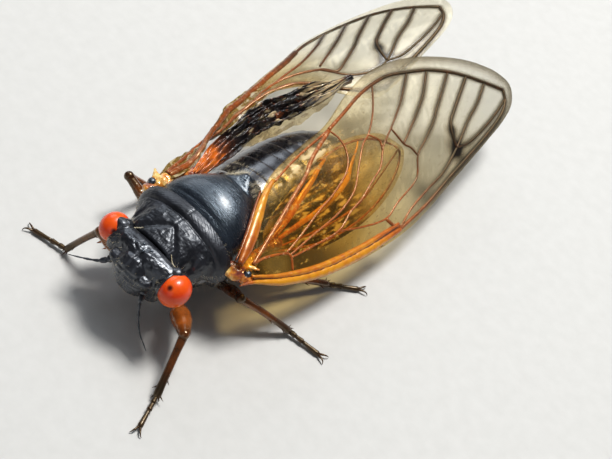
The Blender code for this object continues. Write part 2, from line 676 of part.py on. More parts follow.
def right_strand_point(u, w):
    """The folded inner half: a strand that turns over as it runs back."""
    place = min(max(u / SPINE_STEP, 0.0), len(RIGHT_SPINE) - 1.001)
    i = int(place)
    middle = RIGHT_SPINE[i].lerp(RIGHT_SPINE[i + 1], place - i)
    turn = HALF_TURN * ease(u, 1 * MM, 17 * MM)
    crease = 0.12 * MM * math.sin(u / MM * 1.9)
    aside = Vector((math.cos(turn), 0.0, math.sin(turn)))
    return middle + aside * (w - SPINE_W) + aside.cross(Vector((0, 1, 0))) * crease


def right_forewing_point(u, w):
    share = ease(u, 15.5 * MM, 20.5 * MM)
    return right_strand_point(u, w).lerp(right_outer_point(u, w), share)


def distance_to_path(point, path):
    best = float("inf")
    for a, b in zip(path, path[1:]):
        step = b - a
        t = min(max((point - a).dot(step) / step.length_squared, 0.0), 1.0)
        best = min(best, (point - a - step * t).length)
    return best


def even_points(path, spacing):
    """The path again, with points about this far apart."""
    kept = [path[0]]
    run = 0.0
    for a, b in zip(path, path[1:]):
        run += (b - a).length
        if run >= spacing:
            kept.append(b)
            run = 0.0
    if (kept[-1] - path[-1]).length < spacing * 0.5 and len(kept) > 2:
        kept.pop()
    kept.append(path[-1])
    return kept


def inside(point, outline):
    crossings = 0
    for a, b in zip(outline, outline[1:] + outline[:1]):
        if (a.y > point.y) != (b.y > point.y):
            crossings += point.x < a.x + (b.x - a.x) * (point.y - a.y) / (b.y - a.y)
    return crossings % 2 == 1


# Spacing of the sheet's points, in millimetres, and how far they keep from one another. The
# clearance from a ridge is a share of its half width.
VEIN_STEP = 1.7
CELL_STEP = 2.6
EDGE_STEP = 1.5
RIM_CLEARANCE = 0.12
CELL_CLEARANCE = 0.9
RIDGE_CLEARANCE = 0.85
LAYOUT_END, LAYOUT_LOW, LAYOUT_HIGH = 36.0, -5.0, 8.0
HIGHEST_VEIN = 1.5


def wing_sheet(name, outline, veins, place, collection):
    """A thin closed sheet, with the veins raised in its own upper surface."""
    steps = 8
    corners = [Vector(p) for p in outline]
    rim = smooth_path(corners + [corners[0]], steps)[:-1]
    rim = even_points(rim, EDGE_STEP)[:-1]
    points = list(rim)
    edges = [(i, (i + 1) % len(rim)) for i in range(len(rim))]
    ridges = []
    for half_width, height, route in veins.values():
        crest = even_points(smooth_path([Vector(p) for p in route], steps), VEIN_STEP)
        ridges.append((half_width, height, crest))
        first = len(points)
        points += crest
        edges += [(first + i, first + i + 1) for i in range(len(crest) - 1)]
    for half_width, height, crest in ridges:
        for turn in (-1, 1):
            for i, point in enumerate(crest):
                ahead = crest[min(i + 1, len(crest) - 1)] - crest[max(i - 1, 0)]
                side = Vector((-ahead.y, ahead.x)).normalized() * half_width * turn
                beside = point + side
                near = min(distance_to_path(beside, other[2]) / other[0] for other in ridges)
                clear = min((beside - p).length for p in rim) > RIM_CLEARANCE
                if near > RIDGE_CLEARANCE and clear and inside(beside, rim):
                    points.append(beside)
    u = CELL_STEP / 2
    while u < LAYOUT_END:
        w = LAYOUT_LOW
        while w < LAYOUT_HIGH:
            spot = Vector((u, w))
            if inside(spot, rim) and min((spot - p).length for p in points) > CELL_CLEARANCE:
                points.append(spot)
            w += CELL_STEP
        u += CELL_STEP
    face = list(range(len(rim)))
    flat, _, faces, *_ = delaunay_2d_cdt(points, edges, [face], 1, 1e-4)
    thick = WING_THICKNESS + HIGHEST_VEIN * VEIN_HEIGHT
    mesh = mesh_from(name, [place(p.x * MM, p.y * MM) for p in flat], [tuple(f) for f in faces])
    made = make_object(name, mesh, collection)
    face_upwards(made)
    group = made.vertex_groups.new(name="thickness")
    for i, spot in enumerate(flat):
        rise = 0.0
        for half_width, height, crest in ridges:
            share = max(1 - distance_to_path(spot, crest) / half_width, 0.0)
            rise = max(rise, height * share)
        group.add([i], (WING_THICKNESS + rise * VEIN_HEIGHT) / thick, "REPLACE")
    shell = made.modifiers.new("thickness", "SOLIDIFY")
    shell.thickness = thick
    shell.offset = 1.0
    shell.vertex_group = "thickness"
    bake_modifiers(made)
    return made


def face_upwards(obj):
    shape = bmesh.new()
    shape.from_mesh(obj.data)
    bmesh.ops.recalc_face_normals(shape, faces=shape.faces)
    if sum(face.normal.z * face.calc_area() for face in shape.faces) < 0:
        bmesh.ops.reverse_faces(shape, faces=shape.faces)
    bmesh.ops.triangulate(shape, faces=shape.faces)
    shape.to_mesh(obj.data)
    shape.free()


def crumpled_hindwing(name, collection):
    """The wing that never opened: a folded bundle along the right side, ridged by its pleats."""
    spine = smooth_path([mm(*p) for p in (
        (-3.7, 12.4, 6.8), (-4.2, 15.0, 6.9), (-4.5, 17.8, 7.1), (-4.5, 20.6, 7.4),
        (-4.2, 23.4, 7.6), (-3.8, 26.4, 7.8), (-3.4, 29.6, 8.0))], 4)
    count = 20
    rings = []
    for i, middle in enumerate(spine):
        t = i / (len(spine) - 1)
        half_width = (0.4 + 0.75 * math.sin(math.pi * min(t * 1.1, 1.0)) ** 0.7) * MM
        half_depth = (0.35 + 0.25 * math.sin(math.pi * t)) * MM
        ring = []
        for k in range(count):
            angle = 2 * math.pi * k / count
            pleat = 1 + 0.2 * math.sin(5 * angle + 4 * t) * math.sin(math.pi * t)
            x = half_width * pleat * math.cos(angle)
            z = half_depth * pleat * math.sin(angle)
            ring.append(middle + Vector((x, 0.15 * MM * math.sin(9 * t + angle), z)))
        rings.append(ring)
    return loft(name, rings, collection)


FOREWING_KNUCKLE = (mm(4.5, 8.6, 6.35), mm(0.95, 1.25, 0.75))
HINDWING_KNUCKLE = (mm(3.75, 11.6, 6.05), mm(0.8, 0.9, 0.42))


def rooted_wing(sheet, knuckle, side, neighbours, body, work, cutters):
    """A sheet joined to the knuckle at its root, then cut clear of its neighbours."""
    centre, radii = knuckle
    lump = ellipsoid("knuckle", mirrored(centre, side), radii, work, segments=14, rings=8)
    wing = join(sheet.name, [sheet, lump], body)
    cut_clear(wing, neighbours, cutters)
    return wing


def make_wings(trunk, body, work, cutters):
    left, right = SIDES["left"], SIDES["right"]
    forewing = wing_sheet("forewing_left", FOREWING_OUTLINE, FOREWING_VEINS, left_forewing_point, body)
    rooted_wing(forewing, FOREWING_KNUCKLE, left, trunk, body, work, cutters)
    hindwing = wing_sheet("hindwing_left", HINDWING_OUTLINE, HINDWING_VEINS, left_hindwing_point, body)
    rooted_wing(hindwing, HINDWING_KNUCKLE, left, trunk, body, work, cutters)
    folded = wing_sheet("forewing_right", RIGHT_FOREWING_OUTLINE, RIGHT_FOREWING_VEINS,
                        right_forewing_point, body)
    over = rooted_wing(folded, FOREWING_KNUCKLE, right, trunk, body, work, cutters)
    bundle = crumpled_hindwing("hindwing_right", body)
    rooted_wing(bundle, HINDWING_KNUCKLE, right, [*trunk, over], body, work, cutters)


LOOKS = (
    ("eye", "red eye", EYE_RED),
    ("forewing", "amber wing", MEMBRANE),
    ("hindwing", "amber wing", MEMBRANE),
    ("leg", "brown leg", BROWN),
    ("beak", "brown leg", BROWN),
    ("", "black cuticle", BLACK),
)


def finish(body, root):
    """Materials, smooth shading and the move to the shared origin."""
    for obj in body.objects:
        if obj == root:
            continue
        for start, name, look in LOOKS:
            if obj.name.startswith(start):
                obj.data.materials.clear()
                obj.data.materials.append(material(name, look))
                break
        obj.data.shade_smooth()
        obj.data.set_sharp_from_angle(angle=math.radians(40))
        obj.parent = root
    root.location = ORIGIN_SHIFT


def main():
    for obj in list(bpy.data.objects):
        bpy.data.objects.remove(obj)
    body = new_collection("cicada")
    work = new_collection("working pieces")
    cutters = new_collection("cutters")
    root = make_object("cicada_root", None, body)

    head = make_head(body, work)
    eyes = [make_eye(side_name, head, body, cutters) for side_name in SIDES]
    pronotum = make_pronotum(body)
    cut_clear(pronotum, eyes, cutters)
    mesonotum = make_mesonotum(body)
    cut_clear(mesonotum, [pronotum], cutters)
    thorax = make_thorax([pronotum, mesonotum], body, work, cutters)
    cut_clear(head, [pronotum, thorax], cutters)
    make_antenna("antenna_left", ((1.6, 1.9, 5.0), (1.9, 1.2, 4.5), (2.3, 0.6, 4.0),
                                  (2.9, 0.2, 3.0), (3.6, -0.1, 2.3), (4.2, -0.2, 1.9),
                                  (4.7, -0.3, 1.6)), head, body, cutters)
    make_antenna("antenna_right", ((-1.6, 1.9, 5.0), (-1.95, 1.2, 4.6), (-2.4, 0.7, 4.3),
                                   (-3.0, 0.4, 4.0), (-3.6, 0.1, 3.8), (-4.1, -0.2, 3.7),
                                   (-4.5, -0.4, 3.6)), head, body, cutters)
    make_beak(head, thorax, body, cutters)
    abdomen = make_abdomen(body)
    cut_clear(abdomen, [thorax, mesonotum], cutters)
    make_abdomen_tip(body, abdomen, cutters)
    make_legs(thorax, body, work, cutters)
    make_wings([thorax, mesonotum, pronotum], body, work, cutters)
    finish(body, root)


main()
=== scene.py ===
"""Looks of the periodical cicada: finely modelled body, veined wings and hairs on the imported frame.

Shapes are laid out in millimetres with y = 0 at the front of the face and x = 0 in the middle of
the back, the way the solids are. SHIFT, worked out from the frame, moves them to their place.
"""

import math
import random

import bpy
import numpy as np
from mathutils import Matrix, Vector, noise


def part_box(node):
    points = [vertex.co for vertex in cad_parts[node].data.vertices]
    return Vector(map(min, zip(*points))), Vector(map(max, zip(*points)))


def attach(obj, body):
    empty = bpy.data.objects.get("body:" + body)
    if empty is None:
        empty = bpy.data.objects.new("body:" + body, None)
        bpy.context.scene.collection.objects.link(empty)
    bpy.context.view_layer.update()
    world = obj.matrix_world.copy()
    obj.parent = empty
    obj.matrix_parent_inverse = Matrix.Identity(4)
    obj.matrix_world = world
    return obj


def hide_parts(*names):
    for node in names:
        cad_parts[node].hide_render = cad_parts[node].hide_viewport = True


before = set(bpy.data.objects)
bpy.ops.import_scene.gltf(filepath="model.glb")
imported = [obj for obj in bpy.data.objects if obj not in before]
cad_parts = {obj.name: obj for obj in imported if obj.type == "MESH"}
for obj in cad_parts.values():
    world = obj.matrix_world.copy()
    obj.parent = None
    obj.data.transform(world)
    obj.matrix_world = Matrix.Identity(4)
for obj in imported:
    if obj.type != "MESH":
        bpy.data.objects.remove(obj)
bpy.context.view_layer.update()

MM = 0.001
SIDES = {"left": 1, "right": -1}
BACK_END = 14.1
back_low, back_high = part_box("mesonotum")
SHIFT = np.array([(back_low.x + back_high.x) / 2 / MM, back_high.y / MM - BACK_END, 0.0])
RANDOM = random.Random(17)

HEAD_X = 0.22
HEAD_HALF = 3.15
EYES = {"left": ((3.64, 2.44, 5.87), (1.2, 1.38, 1.3)), "right": ((-3.31, 2.62, 6.06), (1.1, 1.26, 1.18))}


# Camera, floor and light

PHOTO_WIDTH = 612
FOCAL_PIXELS = 1574.23
SENSOR = 36.0
AZIMUTH, ELEVATION, ROLL = (math.radians(a) for a in (25.69, 46.6, 23.59))
AIM = np.array([4.88, 16.2, 5.0])
DISTANCE = 125.12


def world_point(point):
    return Vector((np.asarray(point) + SHIFT) * MM)


def make_camera():
    back = Vector((math.sin(AZIMUTH) * math.cos(ELEVATION),
                   -math.cos(AZIMUTH) * math.cos(ELEVATION), math.sin(ELEVATION)))
    level = Vector((math.cos(AZIMUTH), math.sin(AZIMUTH), 0))
    rise = back.cross(level)
    right = math.cos(ROLL) * level + math.sin(ROLL) * rise
    up = math.cos(ROLL) * rise - math.sin(ROLL) * level
    lens = bpy.data.cameras.new("photo_camera")
    lens.sensor_width = SENSOR
    lens.lens = FOCAL_PIXELS / PHOTO_WIDTH * SENSOR
    lens.clip_start = 0.005
    lens.clip_end = 10.0
    bpy.context.scene.view_settings.view_transform = "Standard"
    camera = bpy.data.objects.new("photo_camera", lens)
    place = Matrix((right, up, back)).transposed().to_4x4()
    place.translation = world_point(AIM) + back * DISTANCE * MM
    camera.matrix_world = place
    bpy.context.scene.collection.objects.link(camera)
    bpy.context.scene.camera = camera


def area_light(name, place, size, power, colour):
    lamp = bpy.data.lights.new(name, "AREA")
    lamp.shape = "DISK"
    lamp.size = size
    lamp.energy = power
    lamp.color = colour
    made = bpy.data.objects.new(name, lamp)
    made.location = place
    made.rotation_euler = Vector(place).to_track_quat("Z", "Y").to_euler()
    bpy.context.scene.collection.objects.link(made)


LIGHTS = (
    ("key", (-0.01, 0.13, 0.35), 0.12, 1.6, (1.0, 0.98, 0.95)),
    ("sky", (-0.02, 0.17, 0.36), 0.34, 0.42, (0.84, 0.92, 1.0)),
    ("fill", (-0.3, 0.14, 0.2), 0.2, 0.3, (0.85, 0.92, 1.0)),
    ("front", (0.1, -0.34, 0.16), 0.3, 0.14, (0.9, 0.95, 1.0)),
)
FLOOR_SIZE = 4.0


def make_studio():
    world = bpy.data.worlds.new("studio")
    world.use_nodes = True
    feed(world.node_tree.nodes["Background"], {"Color": (0.86, 0.9, 0.95, 1), "Strength": 0.09})
    bpy.context.scene.world = world
    for light in LIGHTS:
        area_light(*light)
    bpy.ops.mesh.primitive_plane_add(size=FLOOR_SIZE)
    floor = bpy.context.object
    floor.name = "floor"
    paper, tree, shader = new_look("floor_paper")
    tint = ramp(tree, cloudy(tree, 900, 4), ((0.3, (0.57, 0.565, 0.545)), (0.7, (0.6, 0.595, 0.575))))
    coated(shader, tint, 0.8)
    floor.data.materials.append(paper)


# Material helpers

def new_look(name):
    look = bpy.data.materials.new(name)
    look.use_nodes = True
    return look, look.node_tree, look.node_tree.nodes["Principled BSDF"]


def feed(made, inputs):
    """Links the sockets given to a node's inputs, and sets the numbers and colours on them."""
    for key, value in inputs.items():
        if isinstance(value, bpy.types.NodeSocket):
            made.id_data.links.new(value, made.inputs[key])
        else:
            made.inputs[key].default_value = value


def node(tree, kind, inputs, **settings):
    made = tree.nodes.new("ShaderNode" + kind)
    for key, value in settings.items():
        setattr(made, key, value)
    feed(made, inputs)
    return made


def object_place(tree):
    return node(tree, "TexCoord", {}).outputs["Object"]


def cloudy(tree, scale, detail=2, roughness=0.5, place=None):
    """Noise in object space, where scale is lumps to the metre."""
    return node(tree, "TexNoise", {"Vector": place or object_place(tree), "Scale": scale, "Detail": detail,
                                   "Roughness": roughness}).outputs[0]


def cells(tree, scale):
    return node(tree, "TexVoronoi", {"Vector": object_place(tree), "Scale": scale}).outputs[0]


def stretched(tree, factors, turn=0):
    """Object coordinates scaled by these factors, after a turn about Z given in degrees."""
    return node(tree, "Mapping", {"Vector": object_place(tree), "Scale": factors,
                                  "Rotation": (0, 0, math.radians(turn))}).outputs[0]


def ramp(tree, value, stops):
    made = node(tree, "ValToRGB", {"Fac": value})
    band = made.color_ramp
    while len(band.elements) < len(stops):
        band.elements.new(0.5)
    for element, (spot, colour) in zip(band.elements, stops):
        element.position = spot
        element.color = (*colour, 1.0)
    return made.outputs["Color"]


def level(tree, value, low, high, out_low=0.0, out_high=1.0):
    return node(tree, "MapRange", {"Value": value, "From Min": low, "From Max": high,
                                   "To Min": out_low, "To Max": out_high}).outputs[0]


def mixed(tree, share, *colours):
    first, second = (c if isinstance(c, bpy.types.NodeSocket) else (*c, 1) for c in colours)
    return node(tree, "Mix", {0: share, 6: first, 7: second}, data_type="RGBA").outputs[2]


def attribute(tree, name):
    return node(tree, "Attribute", {}, attribute_name=name).outputs["Fac"]


def bumped(tree, shader, *heights):
    """Bumps from (value, height in millimetres) pairs, one on top of another."""
    under = {}
    for value, height in heights:
        made = node(tree, "Bump", {"Height": value, "Distance": height * MM, "Strength": 1, **under})
        under = {"Normal": made.outputs[0]}
    feed(shader, under)


def maths(tree, operation, first, second):
    return node(tree, "Math", {0: first, 1: second}, operation=operation).outputs[0]


def coated(shader, colour, roughness, specular=0.5, tint=(1, 1, 1), coat=0, wet=0.03):
    """Fills in a shader: colour and roughness, the gloss and its tint, the coat and its roughness."""
    feed(shader, {"Base Color": colour, "Roughness": roughness, "Specular IOR Level": specular,
                  "Specular Tint": (*tint, 1), "Coat Weight": coat, "Coat Roughness": wet})


# Looks

def rugose_look(name, roughness, height, shine):
    """The head and the front plate: black and pitted; height scales the bumps, shine the gloss."""
    look, tree, shader = new_look(name)
    grain, cloud, pits = cloudy(tree, 2200, 5, 0.55), cloudy(tree, 700, 3), cells(tree, 4600)
    lines = cloudy(tree, 2600, 3, place=stretched(tree, (0.35, 3, 1), 25))
    tint = ramp(tree, cloud, ((0.3, (0.002, 0.002, 0.003)), (0.75, (0.009, 0.009, 0.014))))
    rough = level(tree, cloud, 0.3, 0.7, roughness, roughness + 0.16)
    coated(shader, tint, rough, 0.9 * shine, (0.84, 0.9, 1), 0.35 * shine, 0.24)
    bumped(tree, shader, (grain, 0.026 * height), (pits, 0.018 * height), (lines, 0.016))
    return look


def dome_look():
    """The great plate of the back: blue-black satin with hair-fine scratches across it."""
    look, tree, shader = new_look("dome_cuticle")
    cloud, fine = cloudy(tree, 500, 3), cloudy(tree, 2200, 5, 0.7, stretched(tree, (0.5, 3, 1), -18))
    tint = ramp(tree, cloud, ((0.35, (0.003, 0.005, 0.009)), (0.7, (0.01, 0.013, 0.022))))
    coated(shader, tint, level(tree, fine, 0.3, 0.7, 0.2, 0.38), 0.85, (0.68, 0.84, 1), 0.6, 0.25)
    bumped(tree, shader, (fine, 0.055), (cloud, 0.02))
    feed(shader, {"IOR": 1.55})
    return look


def ring_look():
    """The abdomen and the thorax's sides: glossy black, warmer where the tone rises."""
    look, tree, shader = new_look("ring_cuticle")
    grain, fine = cloudy(tree, 1800, 5, 0.6), cloudy(tree, 3200, 3, place=stretched(tree, (4, 0.6, 1)))
    black = ramp(tree, grain, ((0.35, (0.003, 0.003, 0.004)), (0.75, (0.009, 0.008, 0.009))))
    warm = ramp(tree, grain, ((0.3, (0.16, 0.045, 0.012)), (0.75, (0.34, 0.12, 0.03))))
    tint = mixed(tree, attribute(tree, "tone"), black, warm)
    coated(shader, tint, level(tree, grain, 0.3, 0.7, 0.22, 0.36), 0.9, (0.92, 0.93, 1), 0.7, 0.16)
    bumped(tree, shader, (grain, 0.012), (fine, 0.008))
    return look


# Eye colours from its bottom (0) to its top (1); the paler orange low down is a painted glow of light through
# the eye.
EYE_STOPS = ((0, (0.9, 0.2, 0.008)), (0.35, (0.86, 0.11, 0.005)), (0.75, (0.76, 0.045, 0.004)),
             (1, (0.84, 0.1, 0.005)))


def eye_look(name, centre, spot):
    """Orange-red with fine facets under a wet gloss. It is painted a paler orange low down, a painted glow of
    light through the eye. It also carries a painted pseudopupil: one dark point on the side that faces the
    camera.
    """
    look, tree, shader = new_look(name)
    place = object_place(tree)
    away = node(tree, "VectorMath", {0: place, 1: world_point(centre)}, operation="SUBTRACT")
    gap = node(tree, "VectorMath", {0: place, 1: world_point(spot)}, operation="DISTANCE")
    rise = node(tree, "SeparateXYZ", {0: away.outputs["Vector"]}).outputs["Z"]
    # Height on the eye picks the colour, so the painted glow sits low down.
    height = level(tree, rise, -1.3 * MM, 1.2 * MM)
    cloud = level(tree, cloudy(tree, 700, 3), 0.2, 0.8, -0.15, 0.15)
    red = ramp(tree, maths(tree, "ADD", height, cloud), EYE_STOPS)
    # The painted pseudopupil: a dark point where the eye only looks dark from the camera's side.
    painted_pupil = level(tree, gap.outputs["Value"], 0.11 * MM, 0.3 * MM)
    coated(shader, mixed(tree, painted_pupil, (0.06, 0.006, 0.003), red), 0.4, 0.15, coat=0.6, wet=0.2)
    bumped(tree, shader, (cells(tree, 13000), 0.004))
    return look


def toned(tree, mottle, amount):
    """The piece's tone, broken by a mottle."""
    return maths(tree, "ADD", attribute(tree, "tone"), level(tree, mottle, 0.25, 0.75, -amount, amount))


def tone_look(name, stops, roughness, coat, lump, flecked=0.0, wet=0.1, mottled=0.13):
    """A glossy finish whose colour runs along the piece's tone, with pale flecks where asked for."""
    look, tree, shader = new_look(name)
    mottle = cloudy(tree, 1600, 5, 0.6)
    value = toned(tree, mottle, mottled)
    tint = ramp(tree, value, stops)
    if flecked:
        pale = level(tree, cloudy(tree, 4200, 3), 0.56, 0.7, 0, flecked)
        pale = maths(tree, "MULTIPLY", pale, level(tree, value, 0.3, 0.7, 1, 0))
        tint = mixed(tree, pale, tint, (0.88, 0.6, 0.34))
    coated(shader, tint, level(tree, value, 0.5, 0.95, roughness, roughness + 0.2), 0.7, (1, 0.7, 0.34),
           level(tree, value, 0.5, 0.9, coat, coat * 0.3), wet)
    bumped(tree, shader, (mottle, lump))
    return look


def crumpled_look():
    look, tree, shader = new_look("crumpled_wing")
    mottle = cloudy(tree, 1100, 6, 0.65)
    base = ramp(tree, toned(tree, mottle, 0.12), CRUMPLED_STOPS)
    # The cream value mixes in pale cream: painted glints on the crumples.
    tint = mixed(tree, attribute(tree, "cream"), base, (0.8, 0.62, 0.36))
    coated(shader, tint, 0.26, 0.3, coat=0.5, wet=0.08)
    bumped(tree, shader, (mottle, 0.09))
    return look


VEIN_STOPS = ((0.0, (0.78, 0.34, 0.02)), (0.2, (0.6, 0.15, 0.008)), (0.4, (0.32, 0.07, 0.012)),
              (0.65, (0.11, 0.03, 0.012)), (0.95, (0.01, 0.007, 0.006)))
LEG_STOPS = ((0.0, (0.4, 0.1, 0.014)), (0.3, (0.16, 0.042, 0.008)), (0.6, (0.045, 0.014, 0.005)),
             (1.0, (0.008, 0.006, 0.005)))
COSTA_STOPS = ((0.0, (0.66, 0.27, 0.014)), (0.2, (0.48, 0.11, 0.007)), (0.4, (0.24, 0.045, 0.01)),
               (0.65, (0.09, 0.022, 0.01)), (0.95, (0.01, 0.007, 0.006)))
ROOT_STOPS = ((0.0, (0.9, 0.6, 0.2)), (0.2, (0.72, 0.26, 0.03)), (0.45, (0.36, 0.085, 0.035)),
              (0.7, (0.1, 0.02, 0.03)), (1.0, (0.02, 0.01, 0.012)))
CRUMPLED_STOPS = ((0.0, (0.8, 0.25, 0.02)), (0.3, (0.6, 0.14, 0.012)), (0.55, (0.14, 0.04, 0.016)),
                  (0.8, (0.016, 0.009, 0.008)), (1.0, (0.006, 0.005, 0.006)))

# Values painted on each film: the amber tint; smoke, which along pleats is painted shade; and cream, which on
# pleats and crumples is painted glints.
FILM_VALUES = ("amber", "smoke", "cream")


def membrane_look(name, share, mottled=0.0):
    """Clear amber film with smoky edges, painted shade and painted glints; share is how much of it stops the
    light.
    """
    look, tree, shader = new_look(name)
    amber, smoke, cream = (attribute(tree, key) for key in FILM_VALUES)
    cloud, fine = cloudy(tree, 650, 5, 0.65), cloudy(tree, 1500, 6, 0.7, stretched(tree, (2.2, 0.5, 1)))
    painted_glints = cloudy(tree, 2400, 3, 0.6, stretched(tree, (1.6, 0.7, 1)))
    # Smoke darkens the film and cream lightens it. This is the film's own colour, and along pleats and
    # crumples it is painted shade and painted glints.
    colour = mixed(tree, amber, (0.4, 0.38, 0.28), (0.6, 0.34, 0.05))
    colour = mixed(tree, smoke, mixed(tree, cream, colour, (0.95, 0.78, 0.45)), (0.012, 0.009, 0.007))
    coated(shader, colour, 0.22)
    bumped(tree, shader, (cloud, 0.05), (fine, 0.02))
    glow = mixed(tree, amber, (0.97, 0.965, 0.93), (0.93, 0.8, 0.5))
    clear = node(tree, "BsdfTransparent", {"Color": mixed(tree, smoke, glow, (0.25, 0.18, 0.12))})
    body = maths(tree, "ADD", maths(tree, "MULTIPLY", smoke, 0.75), maths(tree, "MULTIPLY", cream, 0.7))
    body = maths(tree, "ADD", body, level(tree, cloud, 0.3, 0.75, share * 0.6, share * 1.6 + mottled))
    # Pale flecks where the film is amber: painted glints.
    body = maths(tree, "ADD", body, maths(tree, "MULTIPLY", level(tree, painted_glints, 0.6, 0.68, 0, 0.5), amber))
    blend = node(tree, "MixShader", {0: body, 1: clear.outputs[0], 2: shader.outputs[0]})
    bump = node(tree, "Bump", {"Height": fine, "Distance": 0.015 * MM})
    gloss = node(tree, "BsdfAnisotropic", {"Color": (1, 0.97, 0.9, 1), "Roughness": 0.24,
                                           "Normal": bump.outputs[0]})
    facing = maths(tree, "MULTIPLY", node(tree, "Fresnel", {"IOR": 1.4}).outputs[0], 0.3)
    shine = node(tree, "MixShader", {0: facing, 1: blend.outputs[0], 2: gloss.outputs[0]})
    feed(tree.nodes["Material Output"], {"Surface": shine.outputs[0]})
    return look


def hair_look():
    look, tree, shader = new_look("pale_hair")
    coated(shader, ramp(tree, cloudy(tree, 2500), ((0.3, (0.45, 0.36, 0.2)), (0.7, (0.78, 0.7, 0.52)))), 0.4)
    return look


# Shape helpers: points are rows of x, y, z in millimetres

def unit(vector):
    return vector / np.linalg.norm(vector)


def units(vectors):
    return vectors / np.linalg.norm(vectors, axis=-1)[..., None]


def spline(points, steps):
    """Points on a Catmull-Rom curve through the given ones, with this many steps between each two."""
    p = np.asarray(points, float)
    p = np.vstack([2 * p[0] - p[1], p, 2 * p[-1] - p[-2]])
    t = (np.arange(steps) / steps)[:, None]
    runs = []
    for before, a, b, after in zip(p, p[1:], p[2:], p[3:]):
        runs.append(0.5 * (2 * a + (b - before) * t + (2 * before - 5 * a + 4 * b - after) * t ** 2
                           + (3 * a - before - 3 * b + after) * t ** 3))
    runs.append(p[-2:-1])
    return np.vstack(runs)


def at_spots(spots, run, line):
    """Points of a line at these values of its running length."""
    return np.stack([np.interp(spots, run, column) for column in line.T], axis=-1)


def even(path, spacing):
    """The path again, with points this far apart."""
    length = np.linalg.norm(np.diff(path, axis=0), axis=1)
    run = np.concatenate([[0.0], np.cumsum(length)])
    spots = np.linspace(0.0, run[-1], max(int(round(run[-1] / spacing)), 2) + 1)
    return at_spots(spots, run, path)


def hump(x, width):
    return np.exp(-((x / width) ** 2))


def ease(x, low, high):
    t = np.clip((x - low) / (high - low), 0.0, 1.0)
    return t * t * (3 - 2 * t)


def lumps(points, size, octaves=3, seed=0.0):
    """Smooth random values of about -1 to 1, with lumps of this size."""
    offset = Vector((seed, seed * 0.7, -seed))
    return np.array([noise.fractal(Vector(p) / size + offset, 1.0, 2.0, octaves) for p in points])


def grid_faces(rows, cols, wrap):
    last = cols if wrap else cols - 1
    a = (np.arange(rows - 1)[:, None] * cols + np.arange(last)[None, :]).ravel()
    b = (np.arange(rows - 1)[:, None] * cols + ((np.arange(last) + 1) % cols)[None, :]).ravel()
    return np.stack([a, b, b + cols, a + cols], axis=1).tolist()


def outward(points, faces):
    """The faces turned so that the closed shape's volume is positive."""
    quads = np.array([f if len(f) == 4 else (*f, f[-1]) for f in faces])
    a, b, c, d = (points[quads[:, k]] for k in range(4))
    volume = (a * (np.cross(b, c) + np.cross(c, d))).sum()
    return [tuple(reversed(f)) for f in faces] if volume < 0 else faces


def closed(rings):
    """A closed body through rings of equally many points, each end closed by a fan."""
    rows, cols, _ = rings.shape
    points = np.vstack([rings.reshape(-1, 3), rings[0].mean(0), rings[-1].mean(0)])
    faces = grid_faces(rows, cols, True)
    front, rear = rows * cols, rows * cols + 1
    for i in range(cols):
        j = (i + 1) % cols
        faces.append((j, i, front))
        faces.append(((rows - 1) * cols + i, (rows - 1) * cols + j, rear))
    return points, outward(points, faces)


def sheet(upper, lower):
    """A closed body between two grids of points."""
    rows, cols, _ = upper.shape
    size = rows * cols
    faces = grid_faces(rows, cols, False)
    under = [tuple(i + size for i in reversed(face)) for face in faces]
    rim = ([r * cols for r in range(rows)] + [(rows - 1) * cols + c for c in range(1, cols)]
           + [r * cols + cols - 1 for r in range(rows - 2, -1, -1)] + [c for c in range(cols - 2, 0, -1)])
    walls = [(a, b, b + size, a + size) for a, b in zip(rim, rim[1:] + rim[:1])]
    points = np.vstack([upper.reshape(-1, 3), lower.reshape(-1, 3)])
    return points, outward(points, faces + under + walls)


def ball(centre, radii, tilt=0.0, rows=16, cols=24):
    """An ellipsoid, tilted about X, in degrees."""
    latitude = np.linspace(-1, 1, rows) * math.radians(88)
    angle = np.arange(cols) * 2 * math.pi / cols
    rings = np.stack([np.outer(np.cos(latitude), np.cos(angle)), np.outer(np.cos(latitude), np.sin(angle)),
                      np.outer(np.sin(latitude), np.ones(cols))], axis=2) * np.asarray(radii, float)
    spin = Matrix.Rotation(math.radians(tilt), 3, "X")
    return closed(rings @ np.array(spin).T + np.asarray(centre, float))


def tube(path, radii, sides=10, squash=1.0):
    """A closed tube with rounded ends, its section squashed in height."""
    path = np.asarray(path, float)
    radii = np.broadcast_to(np.asarray(radii, float), len(path)).copy()
    ahead = units(np.gradient(path, axis=0))
    path = np.vstack([path[0] - ahead[0] * radii[0] * 0.5, path, path[-1] + ahead[-1] * radii[-1] * 0.5])
    ahead = np.vstack([ahead[:1], ahead, ahead[-1:]])
    radii = np.concatenate([[radii[0] * 0.6], radii, [radii[-1] * 0.6]])
    side = np.cross(ahead[0], (0, 0, 1))
    if np.linalg.norm(side) < 0.1:
        side = np.cross(ahead[0], (1.0, 0.3, 0.0))
    angle = np.arange(sides) * 2 * math.pi / sides
    rings = []
    for middle, direction, radius in zip(path, ahead, radii):
        side = unit(side - direction * side.dot(direction))
        rise = np.cross(side, direction)
        ring = np.outer(np.cos(angle), side) + squash * np.outer(np.sin(angle), rise)
        rings.append(middle + radius * ring)
    return closed(np.array(rings))


class Shape:
    """Points, faces and values per point, gathered for one mesh."""

    def __init__(self):
        self.points, self.faces, self.values, self.count = [], [], {}, 0

    def add(self, made, **values):
        points, faces = made
        self.faces += [tuple(i + self.count for i in face) for face in faces]
        self.points.append(points)
        self.count += len(points)
        for key, value in values.items():
            self.values.setdefault(key, []).append(np.broadcast_to(np.asarray(value, float), len(points)))

    def merged(self):
        return np.vstack(self.points), self.faces, {k: np.concatenate(v) for k, v in self.values.items()}


def raw_mesh(points, faces):
    mesh = bpy.data.meshes.new("raw")
    mesh.from_pydata(points.tolist(), [], faces)
    return mesh


def read_rows(items, key):
    """Three numbers for each of a mesh's items, as rows."""
    found = np.zeros(len(items) * 3, np.float32)
    items.foreach_get(key, found)
    return found.reshape(-1, 3).astype(float)


